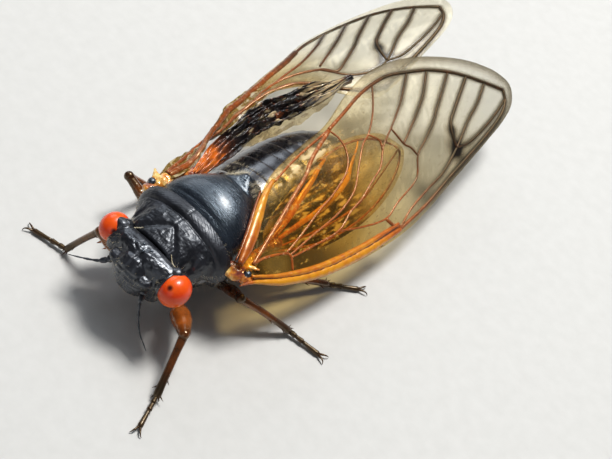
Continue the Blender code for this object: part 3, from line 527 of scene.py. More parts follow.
def clay(parts, voxel, rounds):
    """One even skin over overlapping closed shapes, softened where they meet."""
    shape = Shape()
    for part in parts:
        shape.add(part)
    points, faces, _ = shape.merged()
    lump = bpy.data.objects.new("clay", raw_mesh(points, faces))
    bpy.context.scene.collection.objects.link(lump)
    skin = lump.modifiers.new("skin", "REMESH")
    skin.mode = "VOXEL"
    skin.voxel_size = voxel
    soft = lump.modifiers.new("soft", "SMOOTH")
    soft.iterations = rounds
    soft.factor = 0.5
    bpy.context.view_layer.update()
    mesh = lump.evaluated_get(bpy.context.evaluated_depsgraph_get()).to_mesh()
    points, faces = read_rows(mesh.vertices, "co"), [tuple(face.vertices) for face in mesh.polygons]
    bpy.data.objects.remove(lump)
    return points, faces


def relief(made, carve):
    """Moves each point along its normal by what carve(points, normals) gives."""
    points, faces = made
    mesh = raw_mesh(points, faces)
    normals = read_rows(mesh.vertex_normals, "vector")
    bpy.data.meshes.remove(mesh)
    return points + normals * carve(points, normals)[:, None], faces


def roughened(made, height, *lump):
    return relief(made, lambda points, normals: height * lumps(points, *lump))


def make_piece(name, made, look, slot, nodes=(), **values):
    """One object of the model, at its place, riding on the body."""
    points, faces = made
    mesh = raw_mesh((points + SHIFT) * MM, faces)
    mesh.name = name
    for key, value in values.items():
        layer = mesh.attributes.new(key, "FLOAT", "POINT")
        layer.data.foreach_set("value", np.broadcast_to(value, len(points)).astype(np.float32))
    mesh.shade_smooth()
    mesh.materials.append(look)
    piece = bpy.data.objects.new(name, mesh)
    bpy.context.scene.collection.objects.link(piece)
    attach(piece, "root")
    if nodes:
        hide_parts(*nodes)
    return piece


def make_shape(name, shape, look, slot, nodes=()):
    points, faces, values = shape.merged()
    return make_piece(name, (points, faces), look, slot, nodes, **values)


# Head

def head_capsule():
    stations, count = 41, 48
    rings = []
    for i in range(stations):
        t = 2 * i / (stations - 1) - 1
        close = max(1 - abs(t) ** 5, 0.0) ** 0.5
        squeeze = 0.3 + 0.7 * close
        front, back = 1.0 + 0.75 * t * t, 3.3 + 0.15 * t * t
        top, bottom = 7.45 - 0.45 * t * t, 3.3 + 1.3 * t * t
        angle = np.arange(count) * 2 * math.pi / count
        ring = np.stack([np.full(count, HEAD_X + t * HEAD_HALF),
                         (front + back) / 2 + (back - front) / 2 * squeeze * np.cos(angle),
                         (top + bottom) / 2 + (top - bottom) / 2 * squeeze * np.sin(angle)], axis=1)
        rings.append(ring)
    return closed(np.array(rings))


def carve_head(points, normals):
    x, y, z = points.T
    x = x - HEAD_X
    facing = ease(-normals[:, 1], 0.2, 0.6) * hump(x, 1.5) * ease(z, 2.9, 3.5) * (1 - ease(z, 6.1, 6.6))
    bars = np.sin(2 * math.pi * (z + 0.3 * np.abs(x)) / 0.46) * (1 - 0.8 * hump(x, 0.22))
    top = ease(z, 6.0, 6.9)
    groove = -0.13 * hump(x, 0.16) * top * (1 - ease(y, 2.2, 2.6))
    arcs = -0.05 * hump(np.hypot(x, (y - 2.7) * 1.2) - 1.25, 0.14) * top * (1 - ease(y, 1.9, 2.3))
    rugged = 0.055 * lumps(points, 0.6) + 0.028 * lumps(points, 0.24, 2, 5.0)
    smoother = (1 - 0.75 * facing) * (1 - 0.7 * ease(y, 2.1, 2.6) * top)
    return 0.05 * facing * bars + groove + arcs + rugged * smoother


def make_head():
    parts = [
        head_capsule(),
        ball((HEAD_X, 1.85, 4.85), (1.85, 1.5, 2.3), tilt=20),
        ball((HEAD_X, 2.95, 2.75), (0.85, 0.8, 1.0), tilt=30),
        tube([(HEAD_X + x, 2.55 + 0.01 * x * x, 6.92 - 0.05 * x * x) for x in np.linspace(-2.5, 2.5, 21)],
             0.74, squash=0.68),
        ball((-2.8, 2.7, 6.3), (0.95, 0.75, 1.05)),
    ]
    for side in SIDES.values():
        parts.append(ball((HEAD_X + side * 1.4, 1.15, 5.85), (0.75, 0.68, 0.42)))
        parts.append(ball((HEAD_X + side * 2.65, 2.4, 5.8), (0.75, 1.12, 1.1)))
        parts.append(ball((HEAD_X + side * 1.55, 2.5, 3.9), (0.8, 0.9, 1.2), tilt=15))
        parts.append(ball((HEAD_X + side * 2.8, 3.0, 6.7), (0.55, 0.6, 0.55)))
    skin = relief(clay(parts, 0.07, 6), carve_head)
    make_piece("head_skin", skin, RUGOSE, "black_cuticle", ("head",))
    beads = Shape()
    for x, y in ((0.0, 1.95), (-0.42, 2.45), (0.42, 2.45)):
        beads.add(ball((HEAD_X + x, y, 7.36), (0.13, 0.13, 0.11), rows=12, cols=16), tone=0.25)
    make_shape("ocelli", beads, DOME, "black_cuticle")


def make_eye(side_name, side):
    centre, radii = (np.array(value) for value in EYES[side_name])
    # The painted pseudopupil's point lies on the side of each eye that faces the camera.
    towards = np.array([0.05, -0.62, 0.78]) if side > 0 else np.array([0.55, -0.63, 0.55])
    towards /= np.linalg.norm(towards)
    spot = centre + towards * radii
    name = "eye_" + side_name
    globe = ball(centre, radii, rows=49, cols=72)
    make_piece(name + "_globe", globe, eye_look(name + "_red", centre, spot), "red_eye", (name,))
    inner = HEAD_X + side * 2.72
    reach = math.sqrt(1 - (abs(inner - centre[0]) / radii[0]) ** 2)
    angle = np.linspace(0, 2 * math.pi, 61)
    ring = np.stack([np.full(61, inner), centre[1] + radii[1] * reach * np.cos(angle),
                     centre[2] + radii[2] * reach * np.sin(angle)], axis=1)
    make_piece(name + "_rim", tube(ring, 0.13, 12), RUGOSE, "black_cuticle")


ANTENNAE = {
    "left": ((1.6, 1.9, 5.0), (1.9, 1.2, 4.5), (2.3, 0.6, 4.0), (2.9, 0.2, 3.0), (3.6, -0.1, 2.3),
             (4.2, -0.2, 1.9), (4.7, -0.3, 1.6)),
    "right": ((-1.6, 1.9, 5.0), (-1.95, 1.2, 4.6), (-2.4, 0.7, 4.3), (-3.0, 0.4, 4.0),
              (-3.6, 0.1, 3.8), (-4.1, -0.2, 3.7), (-4.5, -0.4, 3.6)),
}


def make_antenna(side_name):
    """Two stout joints, then a bristle of five beads that thins to its tip."""
    path = even(spline(ANTENNAE[side_name], 12), 0.06)
    run = np.arange(len(path)) * 0.06
    base = np.interp(run, (0, 0.9, 1.0, 1.15, 1.5, 1.6), (0.3, 0.3, 0.17, 0.24, 0.2, 0.1))
    bristle = np.interp(run, (1.6, run[-1]), (0.11, 0.035))
    bristle = bristle * (1 + 0.22 * np.sin(run * 2 * math.pi / 0.8) ** 3)
    radii = np.where(run < 1.6, base, bristle)
    make_piece("antenna_" + side_name + "_bristle", tube(path, radii, 10), RUGOSE, "black_cuticle",
               ("antenna_" + side_name,))


# Plates of the back

def arch_rings(stations, base, lift, squareness, arch_count=121):
    """Sections of a plate: an arch whose edges roll under to a flat base."""
    angle = math.pi * (np.linspace(0, 1, arch_count) - 0.5)
    under = ((0.96, -0.14), (0.84, 0.0), (0.4, 0.05), (-0.4, 0.05), (-0.84, 0.0), (-0.96, -0.14))
    rings = []
    for y, half, top in stations:
        x = half * np.sin(angle)
        z = base + (top - base) * np.maximum(np.cos(angle), 0.0) ** squareness
        z = z + lift(x, np.full(arch_count, y))
        below = np.array([(half * share, y, base + drop) for share, drop in under])
        rings.append(np.vstack([np.stack([x, np.full(arch_count, y), z], axis=1), below]))
    return np.array(rings)


def rolled(rings, front, rear):
    """The rings with two more at each end, drawn in so that the plate's ends are rounded."""
    def drawn(ring, amount, shift):
        middle = np.array([0.0, ring[0, 1], 6.0])
        return middle + (ring - middle) * np.array([1 - amount, 1, 1 - amount]) + np.array([0, shift, 0])
    first = [drawn(rings[0], 0.1, -front), drawn(rings[0], 0.03, -front * 0.75)]
    last = [drawn(rings[-1], 0.03, rear * 0.75), drawn(rings[-1], 0.1, rear)]
    return np.concatenate([first, rings, last])


def pronotum_lift(x, y):
    across = np.abs(x)
    ahead = np.clip(5.15 - y, 0, 9)
    inner = hump(across - (0.12 + 1.12 * ahead), 0.27 + 0.14 * ahead)
    inner = inner * (1 - ease(y, 5.0, 5.4)) * (0.65 + 0.3 * ahead)
    outer = hump(across - (3.15 - 0.3 * (y - 4.2)), 0.32) * hump(y - 4.5, 0.8)
    lobe = hump(across - 1.9, 0.7) * hump(y - 5.3, 0.5)
    side_lobe = hump(across - 3.5, 0.45) * hump(y - 5.3, 0.55)
    dip = hump(across, 0.8) * hump(y - 4.2, 0.7)
    seam = hump(y - 6.22, 0.13) * (1 - 0.5 * hump(across, 0.7))
    midline = hump(across, 0.07) * ease(y, 3.6, 4.0)
    return (-0.21 * inner - 0.36 * outer + 0.14 * lobe + 0.16 * side_lobe - 0.07 * dip - 0.2 * seam
            + 0.05 * hump(y - 6.85, 0.42) - 0.04 * midline)


def carve_pronotum(points, normals):
    x, y, z = points.T
    before = 1 - ease(y, 6.0, 6.3)
    wrinkles = np.sin((y + np.abs(x) * 0.55) * 2 * math.pi / 0.22) * ease(y, 6.3, 6.5)
    combs = np.sin(x * 2 * math.pi / 0.2) * (1 - ease(y, 3.7, 4.4))
    combs = combs * (0.5 + 0.5 * lumps(points, 0.5, 2, 14.0))
    rough = 0.055 * lumps(points, 0.65, 3, 3.0) * ease(np.abs(x), 1.5, 2.4) * before
    rough = rough + (0.012 + 0.02 * before) * lumps(points, 0.34, 4, 8.0)
    return ease(z, 5.0, 5.6) * (rough + 0.008 * wrinkles + 0.022 * combs)


def make_pronotum():
    stations = spline([(3.45, 3.05, 7.45), (4.2, 3.4, 7.75), (5.2, 3.7, 8.0), (5.7, 3.9, 8.1),
                       (6.15, 4.4, 8.15), (6.7, 4.75, 8.3), (7.35, 4.85, 8.36)], 18)
    rings = rolled(arch_rings(stations, 5.0, pronotum_lift, 0.8, 161), 0.12, 0.14)
    make_piece("pronotum_plate", relief(closed(rings), carve_pronotum), PLATE, "black_cuticle", ("pronotum",))


CROSS_Y = 13.1


def mesonotum_lift(x, y):
    across, along = np.abs(x), y - CROSS_Y
    arms = hump(across - np.abs(along) * 1.05, 0.48) * hump(along, 0.95)
    hub = hump(across, 0.8) * hump(along, 0.6)
    dip = hump(along + 1.2, 0.32) * hump(across, 1.6)
    pockets = hump(across - 1.15, 0.36) * hump(along, 0.35)
    rim = hump(y - 7.95, 0.12)
    return 0.2 * arms + 0.28 * hub - 0.2 * dip - 0.1 * pockets - 0.05 * rim


def carve_mesonotum(points, normals):
    _, y, z = points.T
    rear = ease(y, 11.9, 12.6)
    return 0.012 * lumps(points, 1.1, 2, 2.0) + 0.06 * rear * lumps(points, 0.45, 4, 6.0) * ease(z, 5.6, 6.2)


def make_mesonotum():
    stations = spline([(7.0, 3.65, 7.85), (7.55, 3.9, 8.25), (8.4, 4.15, 8.8), (9.6, 3.95, 9.1),
                       (10.8, 3.3, 9.0), (11.8, 2.65, 8.7), (12.6, 2.15, 8.35), (13.4, 1.85, 8.1),
                       (14.0, 1.5, 7.7)], 14)
    rings = rolled(arch_rings(stations, 5.5, mesonotum_lift, 0.85, 141), 0.1, 0.1)
    made = relief(closed(rings), carve_mesonotum)
    make_piece("mesonotum_plate", made, DOME, "black_cuticle", ("mesonotum",))


# Thorax sides, hips and abdomen

def oval_ring(y, half, top, bottom, count, keel=0.0):
    middle = bottom + (top - bottom) * 0.42
    angle = 2 * math.pi * np.arange(count) / count
    x = half * np.cos(angle)
    reach = np.where(np.sin(angle) > 0, top - middle, middle - bottom)
    z = middle + reach * np.sin(angle) + np.where(np.sin(angle) > 0, keel * hump(x / half, 0.35), 0.0)
    return np.stack([x, np.full(count, y), z], axis=1)


COXAE = {
    "front": ((2.1, 4.9, 3.0), (2.9, 4.5, 2.1), 0.85),
    "middle": ((2.7, 8.9, 3.0), (3.7, 8.7, 2.2), 0.85),
    "hind": ((2.6, 12.2, 2.8), (3.4, 12.2, 2.0), 0.8),
}


def sided(point, side):
    return np.array([point[0] * side, point[1], point[2]], float)


THORAX_SEAMS = ((6.6, 0.2), (8.2, -0.15), (10.6, 0.25), (12.3, 0.1))


def carve_thorax(points, normals):
    x, y, z = points.T
    down = -normals[:, 2]
    flank = ease(np.abs(normals[:, 0]), 0.2, 0.6) + ease(down, 0.3, 0.8)
    seams = sum(hump(y - spot - lean * (z - 4), 0.12) for spot, lean in THORAX_SEAMS)
    keel = hump(x, 0.2) * ease(down, 0.5, 0.9)
    return -0.16 * seams * flank - 0.15 * keel + 0.07 * lumps(points, 0.8, 4, 4.0)


def make_thorax():
    stations = spline([(3.0, 1.9, 6.2, 3.6), (3.8, 2.4, 6.6, 3.3), (5.0, 3.3, 7.0, 2.5),
                       (7.0, 3.95, 7.3, 2.0), (9.0, 4.25, 7.4, 1.7), (11.0, 4.3, 7.3, 1.5),
                       (12.6, 4.2, 7.2, 1.4),
                       (13.9, 4.1, 6.9, 1.3), (14.4, 3.9, 6.5, 1.5)], 4)
    parts = [closed(np.array([oval_ring(*station, 48) for station in stations]))]
    for root, tip, radius in COXAE.values():
        for side in SIDES.values():
            a, b = sided(root, side), sided(tip, side)
            parts.append(tube([a, a + (b - a) * 0.6, b], [radius, radius * 0.95, radius * 0.62], 20))
    for side in SIDES.values():
        parts.append(ball((side * 3.7, 7.2, 4.7), (0.75, 1.1, 1.5)))
        parts.append(ball((side * 3.9, 9.9, 4.6), (0.75, 1.2, 1.6)))
        parts.append(ball((side * 1.9, 13.6, 1.95), (1.5, 1.5, 0.62), tilt=-6))
    skin = relief(clay(parts, 0.1, 5), carve_thorax)
    x, _, z = skin[0].T
    make_piece("thorax_skin", skin, RINGS, "black_cuticle", ("thorax",),
               tone=0.5 * ease(-z, -2.4, -1.6) * ease(np.abs(x), 1.0, 2.2))


SEGMENTS = 8
ABDOMEN_START, ABDOMEN_END = 14.1, 25.4
RING_SHARES = (0.0, 0.05, 0.12, 0.25, 0.4, 0.55, 0.7, 0.8, 0.88, 0.93, 0.965, 0.985)
RING_COUNT = 144


def make_abdomen():
    """Overlapping rings, each stepping in under the one before, with a pleat along the flank."""
    rings, tones = [], []
    rise = np.sin(2 * math.pi * np.arange(RING_COUNT) / RING_COUNT)
    pleat = hump(rise + 0.38, 0.12)
    for segment in range(SEGMENTS):
        for share in RING_SHARES:
            t = (segment + share) / SEGMENTS
            swell = np.interp(share, (0.0, 0.08, 0.4, 0.93, 0.985), (-0.17, -0.1, -0.01, 0.06, 0.02))
            half = 4.25 + 0.35 * math.sin(math.pi * t) - 1.5 * t ** 5 + swell
            top = 6.75 - 0.75 * t ** 2 - 0.55 * t ** 6 + swell
            bottom = 1.2 - 0.6 * math.sin(math.pi * t) + 0.5 * t ** 3 - swell
            y = ABDOMEN_START + t * (ABDOMEN_END - ABDOMEN_START)
            ring = oval_ring(y, half, top, bottom, RING_COUNT, 0.12)
            centre = ring.mean(0)
            rings.append(centre + (ring - centre) * (1 - 0.045 * pleat)[:, None])
            tones.append(np.where(rise < -0.2, 0.9, 0.12) * ease(share, 0.9, 0.97) + 0.12 * (rise < -0.3))
    tone = np.concatenate([*tones, [0.0, 0.0]])
    skin = roughened(closed(np.array(rings)), 0.008, 0.9, 3, 9.0)
    make_piece("abdomen_skin", skin, RINGS, "black_cuticle", ("abdomen",), tone=tone)
    stations = spline([(25.1, 2.95, 5.35, 1.55), (26.0, 2.35, 5.0, 1.7), (26.7, 1.5, 4.5, 1.9),
                       (27.1, 0.6, 3.9, 2.4)], 8)
    cone = closed(np.array([oval_ring(*station, 60) for station in stations]))
    parts = [cone, ball((0, 26.2, 2.15), (0.95, 1.0, 0.5), tilt=10), ball((0, 26.7, 3.9), (0.5, 0.6, 0.45))]
    for side in SIDES.values():
        parts.append(ball((side * 0.8, 26.0, 1.9), (0.45, 0.9, 0.35), tilt=8))
    tip = roughened(clay(parts, 0.07, 3), 0.03, 0.5, 3, 1.0)
    make_piece("abdomen_tip_skin", tip, RINGS, "black_cuticle", ("abdomen_tip",), tone=0.1)


def make_beak():
    path = even(spline([(0, 2.9, 1.9), (0, 4.0, 1.55), (0, 5.6, 1.25), (0, 7.4, 0.95)], 10), 0.15)
    run = np.linspace(0, 1, len(path))
    radii = np.interp(run, (0, 0.3, 0.34, 0.6, 0.64, 0.95, 1), (0.4, 0.36, 0.28, 0.3, 0.26, 0.24, 0.1))
    made = tube(path, radii, 16)
    tone = 0.3 + 0.6 * ease(made[0][:, 1], 5.5, 7.4)
    make_piece("beak_sheath", made, LEGS_LOOK, "brown_leg", ("beak",), tone=tone)


# Legs

LEGS = {
    ("front", "left"): ((6.0, 1.95, 3.4), (7.75, -1.75, 0.5), (8.85, -4.4, 0.22)),
    ("front", "right"): ((-4.75, 2.95, 3.8), (-6.55, 1.85, 0.5), (-9.6, 1.1, 0.22)),
    ("middle", "left"): ((6.2, 7.75, 3.7), (9.5, 11.2, 0.45), (12.4, 11.7, 0.22)),
    ("middle", "right"): ((-7.5, 8.45, 4.2), (-7.0, 12.0, 0.45), (-7.1, 14.8, 0.22)),
    ("hind", "left"): ((5.7, 11.9, 2.9), (8.1, 17.4, 0.45), (9.9, 19.4, 0.22)),
    ("hind", "right"): ((-5.7, 11.9, 2.9), (-7.2, 17.3, 0.45), (-7.9, 19.9, 0.22)),
}
FEMUR = {"front": (0.42, 0.66, 0.84, 0.8, 0.6, 0.44), "middle": (0.36, 0.46, 0.52, 0.5, 0.42, 0.38),
         "hind": (0.36, 0.46, 0.52, 0.5, 0.42, 0.38)}
PAIRS = {"front": (0.17, (0.5, 0.95), 3), "middle": (0.46, (0.3, 0.85), 5), "hind": (0.48, (0.3, 0.6), 7)}
FIFTH_TURN = 1.26
LOWEST_SPINE = 0.03


def bent(a, b, sag, count):
    """A line of points from a to b, bowed by sag."""
    t = np.linspace(0, 1, count)[:, None]
    return a + (b - a) * t + np.asarray(sag, float) * np.sin(math.pi * t)


def spine(root, direction, length, radius, curl=(0, 0, 0)):
    t = np.linspace(0, 1, 7)[:, None]
    path = root + direction * length * t + np.asarray(curl, float) * t ** 2
    return tube(path, radius * (1 - 0.9 * t[:, 0]), 8)


def make_femur(name, pair, hip, knee):
    along = unit(knee - hip)
    count = 26
    path = bent(hip, knee + along * 0.12, (0, 0, 0.12), count)
    radii = np.interp(np.linspace(0, 1, count), np.linspace(0, 1, 6), FEMUR[pair])
    parts = [tube(path, radii, 22, 0.86), ball(hip - along * 0.1, (0.46, 0.46, 0.46)),
             ball(knee, (0.42, 0.42, 0.42))]
    if pair == "front":
        down = unit(np.array([0, 0, -1.0]) + 0.5 * along)
        for share, length in ((0.42, 1.3), (0.68, 1.15), (0.86, 0.8)):
            parts.append(spine(hip + (knee - hip) * share, down, length, 0.3, along * 0.25))
    made = roughened(clay(parts, 0.06, 3), 0.02, 0.4, 3, 2.0)
    run = (made[0] - hip) @ along / np.linalg.norm(knee - hip)
    tone = PAIRS[pair][0] + 0.3 * ease(run, 0.75, 1.05) + 0.35 * (1 - ease(run, -0.1, 0.12))
    make_piece(name + "_femur_skin", made, LEGS_LOOK, "brown_leg", (name + "_femur",), tone=tone)


def make_tibia(name, pair, knee, ankle):
    """The shank, with two rows of spines and a ring of spurs at its end."""
    shape = Shape()
    along = unit(ankle - knee)
    _, (low, high), rows = PAIRS[pair]
    radii = np.interp(np.linspace(0, 1, 24), (0, 0.06, 0.3, 0.8, 0.95, 1),
                      (0.31, 0.36, 0.31, 0.3, 0.33, 0.28))
    made = tube(bent(knee, ankle, (0, 0, 0.14), 24), radii, 18, 0.85)
    run = (made[0] - knee) @ along / np.linalg.norm(ankle - knee)
    shape.add(made, tone=low + (high - low) * ease(run, 0.45, 0.9) + 0.3 * hump(run, 0.08))
    aside = unit(np.cross(along, (0, 0, 1.0)))
    thorns = []
    for i in range(rows):
        root = knee + (ankle - knee) * (0.96 - 0.13 * i)
        turn = aside if i % 2 else -aside
        direction = unit(turn + along * 0.9 + np.array([0, 0, 0.25 - 0.3 * (i % 3)]))
        thorns.append((spine(root + turn * 0.15, direction, 0.62 - 0.04 * i, 0.09), 0.75))
    for i in range(5):
        around = unit(np.cos(i * FIFTH_TURN) * aside + np.sin(i * FIFTH_TURN) * np.cross(along, aside))
        spur = spine(ankle - along * 0.08 + around * 0.2, unit(along + around * 0.5), 0.42, 0.08)
        thorns.append((spur, 0.9))
    for thorn, tone in thorns:
        if thorn[0][:, 2].min() > LOWEST_SPINE:
            shape.add(thorn, tone=tone)
    make_shape(name + "_tibia_skin", shape, LEGS_LOOK, "brown_leg", (name + "_tibia",))


def make_tarsus(name, ankle, toe):
    """Three short joints and two hooked claws."""
    shape = Shape()
    along = unit(toe - ankle)
    aside = unit(np.cross(along, (0, 0, 1.0)))
    up = np.cross(aside, along)
    length = np.linalg.norm(toe - ankle)
    share = np.linspace(0, 1, 12)
    for start, end in ((0.0, 0.22), (0.24, 0.46), (0.48, 1.0)):
        path = ankle + np.outer(np.linspace(start, end, 12) * length, along)
        radii = 0.17 + 0.055 * ease(share, 0.1, 0.9) - 0.05 * ease(share, 0.9, 1.0)
        path[:, 2] = np.maximum(path[:, 2], radii + 0.015)
        shape.add(tube(path, radii, 14), tone=0.88)
    t = share[:, None]
    for turn in (-1, 1):
        hook = toe + aside * turn * (0.06 + 0.42 * t) + along * (0.72 * np.sin(t * 1.5))
        hook = hook + up * (0.18 * np.sin(t * 3.0) - 0.1 * t)
        radii = 0.11 * (1 - 0.8 * share)
        hook[:, 2] = np.maximum(hook[:, 2], radii + 0.01)
        shape.add(tube(hook, radii, 8), tone=0.8)
    make_shape(name + "_tarsus_skin", shape, LEGS_LOOK, "black_cuticle", (name + "_tarsus",))


def make_legs():
    for (pair, side_name), points in LEGS.items():
        knee, ankle, toe = (np.array(point) for point in points)
        side = SIDES[side_name]
        root, tip, _ = (np.array(value, float) for value in COXAE[pair])
        hip = sided(tip + unit(tip - root) * 0.15, side)
        name = f"leg_{pair}_{side_name}"
        make_femur(name, pair, hip, knee)
        make_tibia(name, pair, knee, ankle)
        make_tarsus(name, ankle, toe)


# Wings: flat layouts, u from the root to the tip and w from the leading edge to the trailing edge

FOREWING_OUTLINE = (
    (0.0, -1.5), (2.8, -3.0), (6.8, -4.2), (11.5, -4.95), (16.8, -5.15), (20.5, -4.7), (24.8, -3.8),
    (30.0, -2.75), (33.7, -1.9), (35.6, -1.0), (36.4, 0.3), (36.0, 1.7), (34.2, 3.7), (31.2, 5.7),
    (27.3, 7.3), (23.5, 7.8), (19.4, 7.2), (14.9, 5.85), (11.5, 5.45), (7.0, 4.7), (3.9, 3.1),
    (1.6, 1.6), (0.0, 0.8))
FOREWING_VEINS = {
    "ambient_front": (0.15, ((16.7, -4.7), (20.5, -4.25), (24.8, -3.35), (30.2, -2.3), (33.4, -1.45),
                             (34.8, -0.6), (35.3, 0.4))),
    "ambient_rear": (0.15, ((35.3, 0.4), (33.6, 1.9), (32.1, 3.2), (30.6, 4.3), (28.6, 5.4), (26.4, 6.15),
                            (24.4, 6.7), (22.2, 6.75), (20.0, 6.5), (17.8, 6.0), (15.0, 5.4))),
    "claval_edge": (0.1, ((15.0, 5.4), (11.5, 5.0), (9.3, 4.65), (7.0, 4.15))),
    "clavus": (0.17, ((0.9, -0.3), (2.6, 0.4), (5.2, 1.4), (8.0, 2.5), (9.9, 3.2), (11.1, 3.9), (12.5, 4.5),
                      (14.9, 5.3))),
    "basal_cell": (0.11, ((0.9, -0.3), (2.3, -0.4), (4.2, -1.0), (4.5, -1.5), (4.1, -2.4))),
    "media": (0.09, ((4.5, -1.5), (6.9, -1.7), (10.1, -1.85), (12.2, -1.1), (14.0, -0.7), (15.8, 0.0),
                     (17.4, 0.6), (18.9, 1.9), (21.1, 3.0), (23.4, 4.2), (25.3, 5.4), (26.4, 6.1))),
    "media_front": (0.085, ((10.1, -1.85), (12.7, -2.7), (15.5, -3.25), (17.5, -2.65), (20.5, -1.9),
                           (21.9, -0.3), (23.6, 0.5), (25.5, 1.4), (27.0, 2.35), (30.5, 4.35))),
    "node_bar": (0.15, ((15.5, -3.25), (16.0, -4.0), (16.8, -4.6))),
    "radius": (0.1, ((16.8, -4.6), (18.6, -3.8), (21.3, -3.2), (23.8, -2.75), (26.6, -1.6), (29.3, -0.2),
                      (31.5, 0.7), (33.6, 1.85))),
    "radius_tip": (0.1, ((26.6, -1.6), (28.2, -1.85), (30.6, -1.55), (33.1, -1.0), (34.9, -0.4))),
    "wave_bar": (0.14, ((26.6, -1.6), (26.8, -0.5), (27.3, 0.5), (28.2, 1.1), (30.0, 2.1), (32.1, 3.2))),
    "cubitus": (0.085, ((4.2, -1.0), (6.6, -0.4), (9.4, 0.4), (11.2, 0.8), (13.5, 1.6), (14.6, 2.4),
                       (15.2, 3.4), (15.3, 4.4), (15.0, 5.3))),
    "cubitus_front": (0.085, ((4.5, -1.3), (7.3, -1.0), (10.6, -0.7), (12.4, -0.3), (13.8, 0.3), (15.2, 1.5),
                             (17.0, 2.9), (18.2, 3.4), (19.6, 4.3), (20.8, 5.3), (22.2, 6.7))),
    "cross_rear": (0.09, ((18.6, 1.7), (18.9, 2.5), (18.2, 3.4))),
    "cross_middle": (0.09, ((21.9, -0.3), (21.6, 0.6), (21.1, 1.2), (20.8, 2.8))),
    "apical": (0.1, ((21.1, 1.2), (23.2, 2.2), (25.0, 3.1), (26.4, 3.9), (28.5, 5.4))),
}
COSTA_ROUTE = ((-1.2, -1.1), (0.2, -1.5), (2.9, -2.75), (6.8, -3.88), (11.5, -4.5), (16.7, -4.72))
ROOT_EDGE = ((7.0, 4.3), (5.5, 3.7), (3.9, 2.75), (2.2, 1.65), (0.6, 0.7), (-0.2, 0.3))
HINDWING_OUTLINE = (
    (3.4, -0.6), (5.8, -1.5), (9.5, -2.5), (14.0, -2.6), (18.0, -1.8), (20.8, -0.4), (21.6, 1.1),
    (20.6, 2.6), (18.2, 3.7), (15.6, 4.1), (13.0, 4.0), (10.5, 3.4), (8.0, 2.7), (5.6, 1.9), (3.6, 0.9))
HINDWING_VEINS = {
    "edge": (0.12, ((3.8, -0.4), (5.8, -1.15), (9.5, -2.1), (14.0, -2.2), (17.8, -1.4), (20.4, -0.1),
                    (21.1, 1.1), (20.2, 2.2), (18.0, 3.3), (15.6, 3.7), (13.0, 3.6))),
    "media": (0.1, ((3.8, -0.2), (6.0, -0.6), (10.0, -1.1), (14.0, -1.1), (17.2, -0.3), (20.9, 0.9))),
    "cubitus": (0.24, ((3.9, 0.1), (7.0, 0.2), (10.5, 0.3), (13.6, 0.9), (15.4, 1.7), (17.6, 3.3))),
    "fold": (0.3, ((3.9, 0.3), (6.0, 0.9), (8.6, 1.7), (10.6, 2.4), (12.2, 3.1), (13.6, 3.5))),
}


def shared(vein, start=0, end=None):
    """Points of a vein of the left forewing that the right one repeats."""
    return FOREWING_VEINS[vein][1][start:end]


RIGHT_FOREWING_OUTLINE = (
    (0.0, 2.6), (3.0, 2.2), (9.0, 2.2), (14.0, 2.1), (17.0, 1.0), (20.0, -1.6), (22.4, -3.4),
    *FOREWING_OUTLINE[6:13], (31.2, 5.5), (27.3, 6.8), (24.0, 6.4), (21.0, 5.2), (18.0, 4.3), (14.0, 3.9),
    (9.0, 3.8), (3.0, 3.8), (0.0, 3.4))
RIGHT_FOREWING_VEINS = {
    "costa": (0.17, ((0.7, 2.9), (5.0, 2.55), (10.0, 2.6), (14.0, 2.5), (17.5, 1.2), (20.5, -1.4),
                     (22.8, -2.8), (24.8, -3.35))),
    "ambient_front": (0.15, shared("ambient_front", 2)),
    "ambient_rear": (0.15, (*shared("ambient_rear", 0, 4), (28.6, 5.2), (26.4, 5.8), (24.2, 5.8),
                            (22.2, 5.2))),
    "rear_strand": (0.27, ((0.7, 3.15), (5.0, 3.4), (10.0, 3.4), (14.0, 3.45), (18.0, 3.8), (20.3, 4.4),
                          (22.2, 5.2))),
    "media_front": (0.12, ((14.0, 2.5), (17.4, 2.4), (20.8, 1.0), (21.9, -0.1), *shared("media_front", 6))),
    "media": (0.11, ((17.4, 2.4), (20.5, 2.9), (23.4, 4.0), (25.3, 5.1), (26.4, 5.8))),
    "radius": (0.1, ((20.8, 1.0), (22.4, -0.9), (24.4, -1.7), *shared("radius", 4))),
    "radius_tip": FOREWING_VEINS["radius_tip"],
    "wave_bar": FOREWING_VEINS["wave_bar"],
    "apical": (0.1, ((21.2, 1.3), *shared("apical", 1, 4), (28.5, 5.2))),
}
WING_ROOT = np.array([5.2, 7.9, 6.5])
WING_TILT, WING_YAW, WING_PITCH = (math.radians(a) for a in (30.0, -1.1, -1.5))
WING_CAMBER = 0.028
WING_LIFT = 0.25
HINDWING_DROP = 0.98
RIGHT_SPINE = np.array((
    (-4.6, 8.7, 6.7), (-4.95, 11.3, 6.4), (-5.6, 14.0, 6.1), (-6.5, 16.8, 5.9), (-7.2, 19.7, 5.7),
    (-7.7, 22.7, 5.5), (-8.25, 25.7, 5.5), (-8.1, 28.7, 5.9)))
SPINE_STEP, SPINE_W = 3.0, 3.0
RIGHT_OUTER = np.array([-4.84, 38.33, 7.46])
RIGHT_OUTER_U = 30.0
RIGHT_YAW, RIGHT_PITCH, RIGHT_TILT = (math.radians(a) for a in (3.4, 7.2, -5.8))
RIGHT_CURL = 0.08
HALF_TURN = math.radians(211)
FILM_THICKNESS = 0.035
NORMAL_STEP = 0.02


def plane_axes(yaw, pitch, tilt):
    """Directions along a wing, across it towards the trailing edge, and out of its upper side."""
    along = np.array([math.sin(yaw) * math.cos(pitch), math.cos(yaw) * math.cos(pitch), math.sin(pitch)])
    across = np.array([-math.cos(tilt), 0.0, math.sin(tilt)])
    across = unit(across - along * across.dot(along))
    out = np.cross(along, across)
    return along, across, out * math.copysign(1, out[2])


